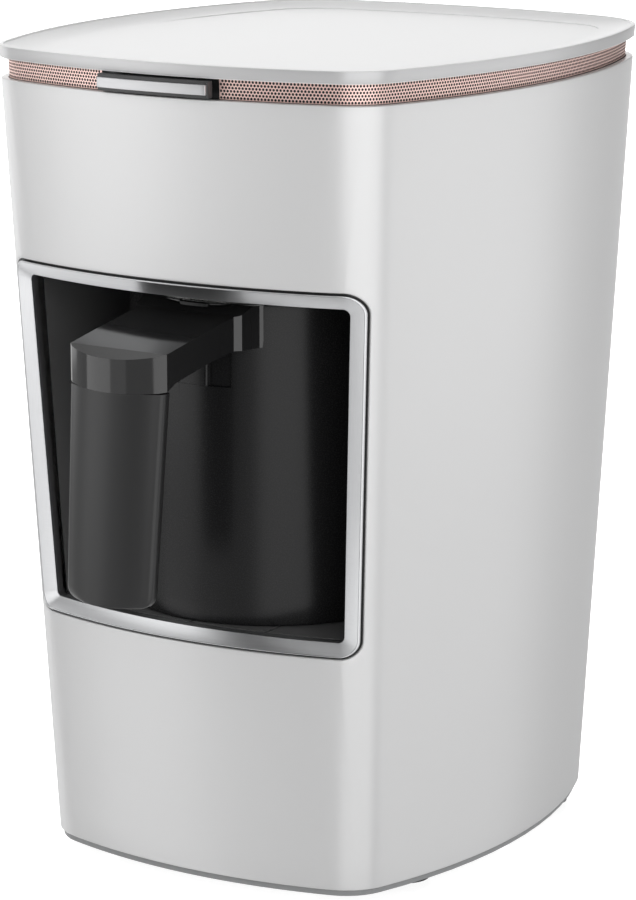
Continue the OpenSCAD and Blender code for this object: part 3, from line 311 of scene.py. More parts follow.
# %% A finish and the nodes in it
class Finish:
    """A material with one Principled BSDF, and a method that adds any other node."""
    def __init__(self, name, colour, roughness, **constants):
        self.material = bpy.data.materials.new(name)
        self.material.use_nodes = True
        self.tree = self.material.node_tree
        self.shader = self.tree.nodes["Principled BSDF"]
        self.shader.inputs["Base Color"].default_value = (*colour, 1)
        self.shader.inputs["Roughness"].default_value = roughness
        for socket, value in constants.items():
            self.shader.inputs[socket.replace("_", " ")].default_value = value

    def node(self, kind, settings=None, inputs=None, output=0):
        made = self.tree.nodes.new(kind)
        for key, value in (settings or {}).items():
            setattr(made, key, value)
        for key, value in (inputs or {}).items():
            if isinstance(value, Wire):
                self.tree.links.new(value.socket, made.inputs[key])
            else:
                made.inputs[key].default_value = value
        return Wire(self, made.outputs[output])

    def place(self, axis=None):
        """Where a point is on the piece, in metres, or one of its coordinates."""
        spot = self.node("ShaderNodeTexCoord", output="Object")
        if axis is None:
            return spot
        return self.node("ShaderNodeSeparateXYZ", inputs={0: spot}, output=axis)

    def noise(self, scale, detail, stretch=(1, 1, 1)):
        """A pattern from 0 to 1; a small number in stretch draws it out along that axis."""
        spot = self.node("ShaderNodeVectorMath", {"operation": "MULTIPLY"}, {0: self.place(), 1: stretch})
        return self.node("ShaderNodeTexNoise", {}, {"Vector": spot, "Scale": scale, "Detail": detail})

    def mix(self, factor, first, second):
        """A colour between two colours."""
        ends = [c if isinstance(c, Wire) else (*c, 1) for c in (first, second)]
        return self.node("ShaderNodeMix", {"data_type": "RGBA"}, {0: factor, 6: ends[0], 7: ends[1]}, 2)

    def paint(self, socket, value):
        self.tree.links.new(value.socket, self.shader.inputs[socket])

    def bump(self, depth_mm, height):
        """Raises the surface by a value from 0 to 1, times a depth in millimetres."""
        made = self.node("ShaderNodeBump", {}, {"Strength": 1.0, "Distance": depth_mm * MM, "Height": height})
        self.paint("Normal", made)


def shade(colour, factor):
    """A colour made darker or lighter, worked out in Python."""
    return tuple(min(1.0, c * factor) for c in colour)


# %% [markdown]
# ## Moulded and painted plastics
# Moulded plastic is never one flat colour: its grain scatters light a little differently from place to
# place, and the tool marks show as a fine bump. Each finish gets a slow drift of tone, a fine grain in
# the roughness and a very shallow bump, all in metres, so that they keep their scale on any piece.

# %% A function for plastics
TONE_SCALE, GRAIN_SPREAD = 14, 0.08


def plastic(name, colour, roughness, grain_mm, depth_mm, drift=0.04, **constants):
    made = Finish(name, colour, roughness, **constants)
    slow = made.noise(TONE_SCALE, detail=1)
    fine = made.noise(1 / (grain_mm * MM), detail=3)
    made.paint("Base Color", made.mix(slow, shade(colour, 1 - drift), shade(colour, 1 + drift)))
    made.paint("Roughness", roughness - GRAIN_SPREAD / 2 + GRAIN_SPREAD * fine)
    made.bump(depth_mm, fine)
    return made.material


# %% The plastics: name, colour, roughness, size of the grain and its depth in mm, and drift of the tone
BAR = plastic("charcoal bar", (0.045, 0.045, 0.047), 0.34, 0.3, 0.002)
SHELL = plastic("silver white shell", (0.75, 0.75, 0.752), 0.36, 0.18, 0.0015, 0.015, Metallic=0.3)
COVER = plastic("gloss white cover", (0.86, 0.86, 0.862), 0.33, 0.6, 0.0004, 0.01, Specular_IOR_Level=0.13)
COVER_EDGE = plastic("silver cover edge", (0.60, 0.60, 0.605), 0.32, 0.6, 0.0003, 0.02, Metallic=0.3)
TRIM = plastic("black trim", (0.012, 0.012, 0.013), 0.42, 0.3, 0.004)
CHAMBER = plastic("polished black chamber", (0.13, 0.13, 0.131), 0.20, 1.2, 0.0010, 0.2)
POT = plastic("satin black pot", (0.012, 0.012, 0.0125), 0.27, 0.35, 0.002, 0.1, Specular_IOR_Level=0.25)
GRIP = plastic("satin black grip", (0.023, 0.023, 0.0235), 0.34, 0.35, 0.0015, 0.1, Specular_IOR_Level=0.4)
HANDLE = plastic("gloss black arm", (0.018, 0.018, 0.0185), 0.10, 0.8, 0.0004, 0.1, Specular_IOR_Level=0.52)
BASE = plastic("grey base", (0.33, 0.335, 0.34), 0.42, 0.3, 0.003)
RUBBER = plastic("soft rubber", (0.03, 0.03, 0.03), 0.75, 0.4, 0.01)
RELAY = plastic("blue relay case", (0.03, 0.09, 0.36), 0.30, 0.4, 0.002)
TERMINAL = plastic("green terminal block", (0.02, 0.22, 0.09), 0.40, 0.3, 0.003)
SOCKET = plastic("ivory socket", (0.72, 0.66, 0.50), 0.45, 0.3, 0.004)
LEAD = plastic("red silicone lead", (0.42, 0.02, 0.015), 0.50, 0.5, 0.003)
HARNESS = plastic("grey cable sleeve", (0.09, 0.09, 0.095), 0.55, 0.4, 0.006)
SEAL = plastic("grey silicone seal", (0.10, 0.10, 0.105), 0.60, 0.5, 0.004)
print("the glossiest plastics:", CHAMBER.name, "and", HANDLE.name)


# %% [markdown]
# ## Metals
# A brushed metal shows fine parallel scratches, and a spun one shows rings. Both are noise that is
# stretched a lot along one direction, so that it drives the roughness and a shallow bump. Rings come
# from the distance to the axis of the spun piece.

# %% Functions for metals
CLOUD_SCALE, CLOUD_TONES, SCRATCH_SPREAD = 30, (0.94, 1.04), 0.12
RING_SCALE, RING_TONES, RING_ROUGHNESS, RING_DEPTH_MM = 2500.0, (0.88, 1.05), (-0.05, 0.14), 0.004


def metal(name, colour, roughness, stretch, scratch_mm, depth_mm):
    made = Finish(name, colour, roughness, Metallic=1.0)
    lines = made.noise(1 / (scratch_mm * MM), 2, stretch)
    slow = made.noise(CLOUD_SCALE, detail=1)
    made.paint("Base Color", made.mix(slow, *[shade(colour, tone) for tone in CLOUD_TONES]))
    made.paint("Roughness", roughness - SCRATCH_SPREAD / 2 + SCRATCH_SPREAD * lines)
    made.bump(depth_mm, lines)
    return made.material


def spun_metal(name, colour, roughness, centre):
    """Rings around a vertical axis through centre."""
    made = Finish(name, colour, roughness, Metallic=1.0)
    away = made.node("ShaderNodeVectorMath", {"operation": "SUBTRACT"}, {0: made.place(), 1: centre})
    flat = made.node("ShaderNodeVectorMath", {"operation": "MULTIPLY"}, {0: away, 1: (1, 1, 0)})
    ring = made.node("ShaderNodeVectorMath", {"operation": "LENGTH"}, {0: flat}, output="Value")
    at = made.node("ShaderNodeCombineXYZ", inputs={0: ring, 2: made.place("Z")})
    lines = made.node("ShaderNodeTexNoise", {}, {"Vector": at, "Scale": RING_SCALE, "Detail": 3.0})
    made.paint("Base Color", made.mix(lines, *[shade(colour, tone) for tone in RING_TONES]))
    made.paint("Roughness", roughness + RING_ROUGHNESS[0] + RING_ROUGHNESS[1] * lines)
    made.bump(RING_DEPTH_MM, lines)
    return made.material


# %% The metals: name, colour, roughness, stretch of the scratches, their width and depth in mm
BAND = metal("rose anodised band", (0.90, 0.67, 0.62), 0.46, (1, 1, 0.2), 0.2, 0.001)
BUTTON = metal("brushed button face", (0.56, 0.56, 0.57), 0.42, (0.03, 0.03, 1), 0.22, 0.0012)
SCREW = metal("zinc plated screw", (0.50, 0.50, 0.51), 0.32, (1, 1, 1), 0.3, 0.004)
SPRING = metal("bright spring wire", (0.62, 0.62, 0.63), 0.18, (1, 0.2, 1), 0.2, 0.002)
CAN = metal("sleeved can", (0.30, 0.33, 0.37), 0.30, (1, 1, 0.05), 0.3, 0.002)
BRASS = metal("turned brass contact", (0.70, 0.48, 0.18), 0.24, (1, 0.05, 1), 0.2, 0.002)
PLATE = metal("cast heating plate", (0.48, 0.48, 0.49), 0.48, (1, 1, 1), 0.5, 0.02)
CORE = metal("laminated core", (0.30, 0.22, 0.12), 0.45, (0.02, 0.02, 1), 0.35, 0.02)
pot_low, pot_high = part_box("steel_cup")
pot_axis = Vector(((pot_low.x + pot_high.x) / 2, (pot_low.y + pot_high.y) / 2, 0))
CUP = spun_metal("spun steel cup", (0.60, 0.60, 0.59), 0.24, pot_axis)
print("pot axis in mm:", [round(v / MM, 2) for v in pot_axis])


# %% [markdown]
# ## The window frame's metal
# The frame's side members are brushed along their length and so are its top and bottom members. One
# noise runs up and down, the other runs across, and a mask picks one of them by the place on the frame.

# %% The window frame's finish
frame_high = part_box("window_bezel")[1]
frame_face, mitre_blur = 7 * MM, 0.3 * MM
SCRATCHES, ALONG, INTO, SCRATCH_DEPTH_MM = 5000, 0.006, 0.02, 0.0001
DULL, BRIGHT = (0.60, 0.605, 0.615), (0.67, 0.675, 0.685)


def frame_metal():
    made = Finish("satin window frame", (0.66, 0.665, 0.68), 0.36, Metallic=1.0)
    upright = made.noise(SCRATCHES, detail=1, stretch=(1, 1, ALONG))
    across = made.noise(SCRATCHES, detail=1, stretch=(ALONG, INTO, 1))
    on_side = made.place("X").size().above(frame_high.x - frame_face, mitre_blur)
    lines = upright * on_side + across * (1 - on_side)
    made.paint("Base Color", made.mix(lines, DULL, BRIGHT))
    made.paint("Roughness", 0.33 + 0.06 * lines)
    made.bump(SCRATCH_DEPTH_MM, lines)
    return made.material


FRAME = frame_metal()
print("side members start at x in mm:", round((frame_high.x - frame_face) / MM, 1))


# %% [markdown]
# ## Boards and glass
# A circuit board is green lacquer over copper tracks, so its colour is stepped by a coarse pattern of
# squares. The sensor's window is dark tinted glass that only lets infra-red light through.

# %% Board and glass finishes
def board():
    made = Finish("green circuit board", (0.02, 0.12, 0.05), 0.28)
    tracks = made.node("ShaderNodeTexBrick", {"offset": 0.5}, {
        "Vector": made.place(), "Scale": 180.0, "Mortar Size": 0.05, "Mortar Smooth": 0.1,
        "Color1": (0.018, 0.115, 0.048, 1), "Color2": (0.022, 0.13, 0.055, 1),
        "Mortar": (0.05, 0.22, 0.09, 1)})
    made.paint("Base Color", tracks)
    made.bump(depth_mm=0.03, height=made.noise(900, detail=2))
    return made.material


def dark_glass():
    made = Finish("dark sensor window", (0.01, 0.012, 0.015), 0.2,
                  Transmission_Weight=0.3, Specular_IOR_Level=0.1)
    made.paint("Roughness", 0.18 + 0.05 * made.noise(600, detail=2))
    return made.material


BOARD, GLASS = board(), dark_glass()
print("the last two finishes:", BOARD.name, "and", GLASS.name)

# %% [markdown]
# ## Finishes for the solids that stay
# A solid whose shape is right keeps its mesh and only gets a better finish. The table says which. The
# springs and the switch's dome are here too, because their copies below take the finish with them.

# %% Dress the solids
STAYING = {
    "top_frame": TRIM, "support_frame": BASE, "base_plate": BASE, "rubber_feet": RUBBER,
    "base_screws": SCREW, "cover_screws": SCREW, "sensor_window": GLASS, "foam_sensor": BOARD,
    "sensor_bracket": BASE, "main_board": BOARD, "board_screws": SCREW, "relay": RELAY,
    "transformer": CORE, "capacitors": CAN, "buzzer": TRIM, "terminal_block": TERMINAL,
    "cord_inlet": TRIM, "inlet_nut": TRIM, "socket_connector": SOCKET, "socket_contacts": BRASS,
    "socket_leads": LEAD, "control_harness": HARNESS, "button_housing": TRIM, "stem_clips": SCREW,
    "button_springs": SPRING, "switch_dome": SEAL, "button_board": BOARD, "steel_cup": CUP,
    "cup_seal": SEAL, "grip_screw": SCREW, "pot_base": POT, "pot_base_screws": SCREW,
    "heater_plate": PLATE, "thermostat": SOCKET, "pot_plug": POT, "plug_pins": BRASS,
    "pot_leads": LEAD, "chamber_liner": CHAMBER, "chamber_floor": CHAMBER,
}
SOLID_SHARP = 30
for name, finish in STAYING.items():
    mesh = nodes[name].data
    mesh.materials.clear()
    mesh.materials.append(finish)
    mesh.shade_smooth()
    mesh.set_sharp_from_angle(angle=math.radians(SOLID_SHARP))
print("solids with a finish:", len(STAYING))


# %% [markdown]
# ## The window's outline
# The window is a trapezium with round corners, drawn in x and z and then laid on the curved front. The
# shell's cut and both edges of the metal frame use the same number of points, so that a sheet can run
# from one to the next. Each of the four sides goes from the middle of one corner to the middle of the
# next.

# %% The window's loops
window_z, window_top = 80.4 * MM, 194.9 * MM
window_half, window_narrowing = 65.5 * MM, 10.7 * MM
window_r, opening_r = 6 * MM, 2 * MM
bezel_side, bezel_top, bezel_bottom = 6.2 * MM, 5.2 * MM, 4.3 * MM
lean = math.atan(window_narrowing / 2 / (window_top - window_z))
CORNER_STEPS, EDGE_STEPS = 6, 26


def window_half_w(z):
    return window_half - window_narrowing / 2 * (window_top - z) / (window_top - window_z)


def outward(turn):
    return Vector((math.cos(turn), math.sin(turn)))


def rounded_window(z0, z1, half0, half1, r):
    """Four sides of a rounded trapezium, each from corner middle to corner middle, as x and z."""
    drop0 = r * (1 - math.sin(lean)) / math.cos(lean)
    drop1 = r * (1 + math.sin(lean)) / math.cos(lean)
    centres = [Vector(spot) for spot in ((drop0 - half0, z0 + r), (half0 - drop0, z0 + r),
                                         (half1 - drop1, z1 - r), (drop1 - half1, z1 - r))]
    facings = [lean - math.pi, -QUARTER, -lean, QUARTER, math.pi + lean, 3 * QUARTER]
    sides = []
    for i in range(4):
        before, facing, after = facings[i:i + 3]
        a, b = centres[i], centres[(i + 1) % 4]
        side = [a + outward(t) * r for t in evenly((before + facing) / 2, facing, CORNER_STEPS)[:-1]]
        side += [a.lerp(b, f) + outward(facing) * r for f in evenly(0, 1, EDGE_STEPS)]
        side += [b + outward(t) * r for t in evenly(facing, (facing + after) / 2, CORNER_STEPS)[1:]]
        sides.append(side)
    return sides


def window_sides(grow=0.0):
    return rounded_window(window_z - grow, window_top + grow, window_half_w(window_z) + grow,
                          window_half_w(window_top) + grow, window_r + grow)


def opening_sides():
    low, high = window_z + bezel_bottom, window_top - bezel_top
    return rounded_window(low, high, window_half_w(low) - bezel_side, window_half_w(high) - bezel_side,
                          opening_r)


def loop(sides):
    """One closed loop without the points that neighbouring sides share."""
    return [p for side in sides for p in side[:-1]]


print("points around the window:", len(loop(window_sides())))

# %% [markdown]
# ## The shell
# The shell is a moulded tube with the window cut in its front. A boolean cut would leave ragged faces
# along the cut, and they would show in the satin finish. So the front is a net of rings instead: the
# first ring follows the window's edge, the last one is a rectangle, and the rest of the tube is a plain
# grid that shares the rectangle's sides. Small rounds along the cut and the upper edge catch the light.

# %% The border of the front
SIDE_SPAN, CORNER_SHARE = 6 * MM, 0.10
edge_gap, edge_round, lip_round = 0.35 * MM, 0.45 * MM, 0.4 * MM
patch_walk = arc_lengths[0] + arc_lengths[1] + SIDE_SPAN
side_steps = 2 * CORNER_STEPS + EDGE_STEPS
low_z, high_z = shell_low.z + lip_round, shell_high.z - lip_round


def spread(i):
    """Even steps, but close together near both ends, where the window's corners are."""
    if i <= CORNER_STEPS:
        return CORNER_SHARE * i / CORNER_STEPS
    if i >= CORNER_STEPS + EDGE_STEPS:
        return 1 - CORNER_SHARE * (side_steps - i) / CORNER_STEPS
    return CORNER_SHARE + (1 - 2 * CORNER_SHARE) * (i - CORNER_STEPS) / EDGE_STEPS


across = [patch_walk * (2 * spread(i) - 1) for i in range(side_steps)]
upward = [low_z + (high_z - low_z) * spread(i) for i in range(side_steps)]
BORDER = [(walk, low_z) for walk in across] + [(patch_walk, z) for z in upward]
BORDER += [(-walk, high_z) for walk in across] + [(-patch_walk, low_z + high_z - z) for z in upward]
print("points around the border:", len(BORDER))

# %% The front of the shell as rings around the window
RINGS, RING_EASE = 14, 1.5    # a power above 1 draws the rings towards the window
WINDOW = [(walk_of(x, z), z) for x, z in loop(window_sides(edge_gap + edge_round))]


def front_net(inset):
    """Rings from the window's edge to the border, closer together near the window."""
    rows = []
    for f in (share ** RING_EASE for share in evenly(0, 1, RINGS)):
        rows.append([housing_point(walk0 + (walk1 - walk0) * f, z0 + (z1 - z0) * f, inset)
                     for (walk0, z0), (walk1, z1) in zip(WINDOW, BORDER)])
    return rows


# %% The rest of the tube and its edges
AROUND, ROUND_STEPS = 110, 4
ROUND_SHARES = [(1, 0), (0.62, 0.08), (0.29, 0.29), (0.08, 0.62), (0, 1)]
inner_chamfer = 0.1 * MM
column_walks = [walk if walk <= half_walk else walk - 2 * half_walk
                for walk in evenly(patch_walk, 2 * half_walk - patch_walk, AROUND)]
rim_walks = across + column_walks[:-1]


def edge_profile(z, toward, r, wall):
    """Inset and height around a rounded edge, from the outer face to the inner one."""
    turn = [(r * (1 - math.cos(a)), z + toward * r * (math.sin(a) - 1))
            for a in evenly(0, QUARTER, ROUND_STEPS)]
    return turn + [(wall - inset, level) for inset, level in reversed(turn)]


shell = bmesh.new()
for inset in (0, shell_wall):
    sheet(shell, front_net(inset), closed=True)
    sheet(shell, [[housing_point(walk, z, inset) for walk in column_walks] for z in upward + [high_z]])
for z, toward in ((shell_high.z, 1), (shell_low.z, -1)):
    sheet(shell, [[housing_point(walk, level, inset) for walk in rim_walks]
                  for inset, level in edge_profile(z, toward, lip_round, shell_wall)], closed=True)
cut_steps = [(edge_round * grow, edge_round * inset) for grow, inset in ROUND_SHARES]
cut_steps += [(0, shell_wall - inner_chamfer), (edge_round, shell_wall)]
sheet(shell, [[housing_point(walk_of(x, z), z, inset) for x, z in loop(window_sides(edge_gap + grow))]
              for grow, inset in cut_steps], closed=True)
piece("shell_skin", shell, "housing", SHELL, 40, ["outer_shell"])

# %% [markdown]
# ## The cover
# The cover is a glossy white moulding: a thin flat rim, a small step, a border that slopes gently down
# from it, another small step, and a flat panel. It is one profile carried around the plan, so it is a loft
# of rings. The steps draw thin lines along the far side and hide behind their own edges on the near side.

# %% The cover's profile
COVER_AROUND, SLOPE_RINGS, SLOPE_EASE = 260, 16, 1.9
cover_dish, rim_land, border = 2.2 * MM, 1.5 * MM, 12 * MM
rim_step, panel_step, step_run = 0.36 * MM, 0.27 * MM, 0.12 * MM
cover_round, cover_under, step_length, cover_t = 0.30 * MM, 6 * MM, 55 * MM, 4 * MM
cover_z, low_corner = height - cover_t, 0.3 * cover_round
cover_walks = evenly(-half_walk, half_walk, COVER_AROUND)[:-1]


def cover_profile():
    """Inset, height, and how much of the panel's step each ring takes part in. The last ring keeps the
    step's smooth shading from running out over the wide panel."""
    r, slope_start = cover_round, rim_land + step_run
    rows = [(cover_under, cover_z), (r, cover_z), (low_corner, cover_z + low_corner), (0, cover_z + r)]
    rows += [(r * (1 - math.cos(a)), height - r * (1 - math.sin(a)))
             for a in evenly(0, QUARTER, ROUND_STEPS)]
    rows = [(inset, z, 0) for inset, z in rows + [(rim_land, height)]]
    for f in evenly(0, 1, SLOPE_RINGS):
        ease = 1 - (1 - f) ** SLOPE_EASE
        rows.append((slope_start + (border - slope_start) * f,
                     height - rim_step - (cover_dish - rim_step) * ease, ease))
    return rows + [(border + step_run * k, height - cover_dish, 0) for k in (1, 3)]


print("rings in the cover's profile:", len(cover_profile()))


# %% The cover
def smooth_step(value, low, high):
    f = min(1.0, max(0.0, (value - low) / (high - low)))
    return f * f * (3 - 2 * f)


def cover_point(walk, inset, z, share):
    """The panel's step is full along the rear and runs out along both sides."""
    spot = housing_point(walk, z, inset)
    spot.z += panel_step * share * smooth_step(spot.y - middle_y, 0, step_length)
    return spot


PANEL_SHARES = (0.8, 0.5, 0.2)
UPRIGHT, EDGE_TOP = 0.3, height - 0.2 * MM
cover = bmesh.new()
rows = [[cover_point(walk, *ring) for walk in cover_walks] for ring in cover_profile()]
centre_top, panel_edge = Vector((0, middle_y, height - cover_dish)), rows[-1]
rows += [[centre_top + (p - centre_top) * f for p in panel_edge] for f in PANEL_SHARES]
grid = sheet(cover, rows, closed=True)
cap(cover, grid[-1], centre_top)
cap(cover, list(reversed(grid[0])), Vector((0, middle_y, cover_z)))
cover_skin = piece("cover_skin", cover, "housing", COVER, 40, ["top_cover"])
second_finish(cover_skin, COVER_EDGE,
              lambda face: abs(face.normal.z) < UPRIGHT and face.center.z < EDGE_TOP)


# %% [markdown]
# ## The perforated band
# Between the shell and the cover runs a strip of thin sheet with staggered round holes, anodised in a
# rose tone. The holes could be painted with a mask, but they must stay sharp from every side, so they are
# real: each hole sits in a small cell, the rows are staggered like bricks, and the cells share their
# corners. The walls of the holes are painted black as painted shade, for the shadow inside the sheet's
# thickness; the moulding behind the strip is black too.

# %% The band and its holes
band_low, band_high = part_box("perforated_band")
band_inset, band_t = 2.6 * MM, 0.25 * MM
button_low, button_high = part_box("button_bar")
button_gap = 1.5 * MM
band_end = walk_of(button_high.x + button_gap, band_low.z)
band_walk = half_walk - band_end
HOLE_ROWS, HOLE_COLUMNS = 6, 520
hole_r, band_margin = 0.41 * MM, 0.12 * MM
pitch_u = 2 * band_walk / HOLE_COLUMNS
band_h = band_high.z - band_low.z
pitch_z = (band_h - 2 * band_margin) / HOLE_ROWS
CELL_RIM = [(-0.5, -0.5), (0, -0.5), (0.5, -0.5), (0.5, 0), (0.5, 0.5), (0, 0.5), (-0.5, 0.5), (-0.5, 0)]
RIM_POINTS = len(CELL_RIM)
HOLE_SIDES = 2 * RIM_POINTS
HOLE_TURNS = [turn - 1.5 * QUARTER for turn in full_turn(HOLE_SIDES)]
print("hole pitch in mm:", round(pitch_u / MM, 2), round(pitch_z / MM, 2))


def band_point(u, v, inset):
    """u runs over the band from the button's right side to its left one, v upwards."""
    walk = band_end + u
    return housing_point(walk if walk <= half_walk else walk - 2 * half_walk, band_low.z + v, inset)


def hole_cell(bm, u, v):
    """One hole with its share of the sheet: pentagons around it and a wall through the sheet, in black as
    painted shade.
    """
    outer = [bm.verts.new(band_point(u + a * pitch_u, v + b * pitch_z, band_inset)) for a, b in CELL_RIM]
    front, rear = [[bm.verts.new(band_point(u + hole_r * math.cos(t), v + hole_r * math.sin(t), inset))
                    for t in HOLE_TURNS] for inset in (band_inset, band_inset + band_t)]
    for k in range(RIM_POINTS):
        a, b, c = 2 * k, 2 * k + 1, (2 * k + 2) % HOLE_SIDES
        bm.faces.new((outer[k], outer[(k + 1) % RIM_POINTS], front[c], front[b], front[a]))
    for k in range(HOLE_SIDES):
        n = (k + 1) % HOLE_SIDES
        # the wall through the sheet takes the second finish, black: painted shade inside the hole
        bm.faces.new((front[k], front[n], rear[n], rear[k])).material_index = 1


# %% The strip
def flat_strip(bm, us, vs):
    """A plain part of the strip's face."""
    sheet(bm, [[band_point(u, v, band_inset) for u in us] for v in vs])


band = bmesh.new()
half_steps = evenly(0, 2 * band_walk, 2 * HOLE_COLUMNS)
for v in (0, band_h):
    sheet(band, [[band_point(u, v, inset) for u in half_steps]
                 for inset in (band_inset, band_inset + band_t)])
for v in (0, band_h - band_margin):
    flat_strip(band, half_steps, (v, v + band_margin))
for row in range(HOLE_ROWS):
    shifted, v = row % 2, band_margin + row * pitch_z
    for column in range(HOLE_COLUMNS - shifted):
        hole_cell(band, (column + 0.5 + 0.5 * shifted) * pitch_u, v + 0.5 * pitch_z)
    if shifted:
        for u in (0, 2 * band_walk - pitch_u / 2):
            flat_strip(band, (u, u + pitch_u / 2), (v, v + pitch_z / 2, v + pitch_z))
strip = piece("perforated_strip", band, "housing", BAND, 40, ["perforated_band"])
# the second finish, black trim, is painted shade on the walls of the holes
strip.data.materials.append(TRIM)

# %% [markdown]
# ## The start bar
# The start bar is a charcoal moulding with a brushed plate set on its face. The plate is lower than the
# bar, so that a dark strip shows below and above it. Both follow the bulge of the front, and both have
# soft edges. Each is one rounded section carried across the front, with smaller copies at either end.

# %% A rounded strip across the front
face_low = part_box("button_face")[0]
button_z = (button_low.z + button_high.z) / 2
SECTION_STEPS, STRIP_STEPS, ROD_SIDES = 4, 30, 32


def button_point(x, y, z):
    """A point whose y is measured in the middle of the bar; the bulge of the front is added to it."""
    bulge = front_point(x, button_z).y - front_point(0, button_z).y
    return Vector((x, y + bulge, z))


def rounded_section(y0, y1, half_h, r):
    """A rectangle of depth and height with round corners, as a list of y and z."""
    corners = [(y1 - r, half_h - r), (y0 + r, half_h - r), (y0 + r, r - half_h), (y1 - r, r - half_h)]
    return [(y + r * math.cos(a), button_z + z + r * math.sin(a)) for i, (y, z) in enumerate(corners)
            for a in evenly(QUARTER * i, QUARTER * (i + 1), SECTION_STEPS)]


def strip_rows(y0, y1, half_h, half_w, r):
    """The section at each step across the front, drawn in a little at both ends."""
    start = [(r - half_w - r * math.cos(a), r * (1 - math.sin(a))) for a in (0, QUARTER / 3, QUARTER / 1.5)]
    middle = [(x, 0) for x in evenly(r - half_w, half_w - r, STRIP_STEPS)]
    end = [(-x, draw) for x, draw in reversed(start)]
    return [[button_point(x, y, z) for y, z in rounded_section(y0 + draw, y1 - draw, half_h - draw, r)]
            for x, draw in start + middle + end]


def rod(bm, x, radius, y0, y1):
    """A rod along Y at the height of the bar."""
    closed_sheet(bm, [[Vector((x + radius * math.cos(t), y, button_z + radius * math.sin(t)))
                       for t in full_turn(ROD_SIDES)] for y in (y0, y1)])


print("middle of the bar in mm:", round(button_z / MM, 2))

# %% The start bar and its plate
stem_gap, stem_r, pusher_r, pusher_short = 26 * MM, 1.5 * MM, 1.8 * MM, 1.2 * MM
bar_depth, bar_round, overlap = 3.0 * MM, 0.35 * MM, 0.3 * MM
plate_half_h, plate_t, plate_round, plate_inset = 1.55 * MM, 0.8 * MM, 0.18 * MM, 0.3 * MM
bar_front = button_low.y - 0.1 * MM
bar_back = bar_front + bar_depth
bar_half_h, bar_half_w = (button_high.z - button_low.z) / 2, button_high.x
start_bar = bmesh.new()
closed_sheet(start_bar, strip_rows(bar_front, bar_back, bar_half_h, bar_half_w, bar_round))
for x in (-stem_gap / 2, stem_gap / 2):
    rod(start_bar, x, stem_r, bar_back - overlap, button_high.y)
rod(start_bar, 0, pusher_r, bar_back - overlap, button_high.y - pusher_short)
piece("start_bar", start_bar, "button", BAR, 40, ["button_bar"])
plate = bmesh.new()
closed_sheet(plate, strip_rows(face_low.y, face_low.y + plate_t + overlap, plate_half_h,
                               bar_half_w - plate_inset, plate_round))
piece("start_plate", plate, "button", BUTTON, 40, ["button_face"])

# %% [markdown]
# ## What the bar presses on
# Two coil springs and a rubber dome stand behind the bar. Their rear ends stay where they are while the
# bar comes in by its travel, so they only shorten. Here each is a copy of its solid, with a mesh of its own.

# %% Copies of the springs and the dome
for name, node, slot in (("coil_springs", "button_springs", "spring_steel"),
                         ("rubber_dome", "switch_dome", "seal_silicone")):
    soft = new_object(name, nodes[node].data.copy())
    soft.matrix_world = nodes[node].matrix_world.copy()
    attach(soft, "housing")
    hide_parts(node)
    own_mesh(soft)

# %% [markdown]
# ## The window's metal frame
# The frame is a bevelled section swept around the window: a narrow rounded lip that stands on the shell,
# a fine groove, a wide face that slopes inwards, and a rounded inner edge. The section is a list of
# steps from the outer loop to the inner one, with a depth behind the shell's face for each. It sits in a
# black carrier, a dark sheet put in the gap around the frame as painted shade, which shows as a thin dark
# line.

# %% The bevelled frame
FRAME_SECTION = [
    # share of the way from the outer loop to the inner one, and depth in millimetres
    (0.075, 1.30), (0.075, 0.30), (0.083, 0.10), (0.100, 0.0), (0.135, 0.0), (0.150, 0.10), (0.156, 0.34),
    (0.172, 0.36), (0.180, 0.26), (0.94, 3.62), (0.965, 3.66), (0.985, 3.80), (1.0, 4.10), (1.0, 7.0)]
frame_t, shade_carrier_depth, shade_carrier_grow = 7.0 * MM, 1.30 * MM, 0.30 * MM
SHADE_CARRIER_ROWS = 3
outer_loop, inner_loop = loop(window_sides()), loop(opening_sides())


def frame_ring(share, back_mm):
    return [front_point(*outer.lerp(inner, share), back_mm * MM)
            for outer, inner in zip(outer_loop, inner_loop)]


# a black sheet in the gap around the frame: painted shade, where the gap would be dark
shade_carrier = [[front_point(x, z, back) for x, z in loop(window_sides(shade_carrier_grow))]
           for back in (frame_t, shade_carrier_depth)]
frame_rows = shade_carrier + [frame_ring(share, back_mm) for share, back_mm in FRAME_SECTION] + shade_carrier[:1]
frame_mesh = bmesh.new()
sheet(frame_mesh, frame_rows, closed=True)
window_frame = piece("window_frame", frame_mesh, "housing", FRAME, 32, ["window_bezel"])
# the carrier's faces take black trim: painted shade in the gap around the frame
second_finish(window_frame, TRIM, lambda face: face.index < SHADE_CARRIER_ROWS * len(outer_loop))

# %% [markdown]
# ## Cutting and softening solid shapes
# The handle is made of moulded blocks with crisp facets. Such a shape is easiest to cut from prisms, as a
# machinist would: one prism gives the plan, another the side view, and what they share is the arm. A
# narrow bevel on every real edge then gives the small highlights that moulded plastic has.

# %% Prisms and turned blocks
TURNED_SIDES = 128


def prism(points, axes, start, end):
    """A closed outline, drawn on two axes and drawn out along the third from start to end."""
    third = 3 - sum(axes)
    rows = []
    for level in (start, end):
        spots = [{axes[0]: a, axes[1]: b, third: level} for a, b in points]
        rows.append([Vector((spot[0], spot[1], spot[2])) for spot in spots])
    bm = bmesh.new()
    closed_sheet(bm, rows)
    bmesh.ops.recalc_face_normals(bm, faces=bm.faces)
    return bm


def turned(profile, centre):
    """A closed profile of radius and height, turned around a vertical axis."""
    rows = [[centre + Vector((r * math.cos(t), r * math.sin(t), z)) for t in full_turn(TURNED_SIDES)]
            for r, z in profile]
    bm = bmesh.new()
    sheet(bm, rows + rows[:1], closed=True)
    bmesh.ops.remove_doubles(bm, verts=bm.verts, dist=WELD_DISTANCE)
    bmesh.ops.recalc_face_normals(bm, faces=bm.faces)
    return bm


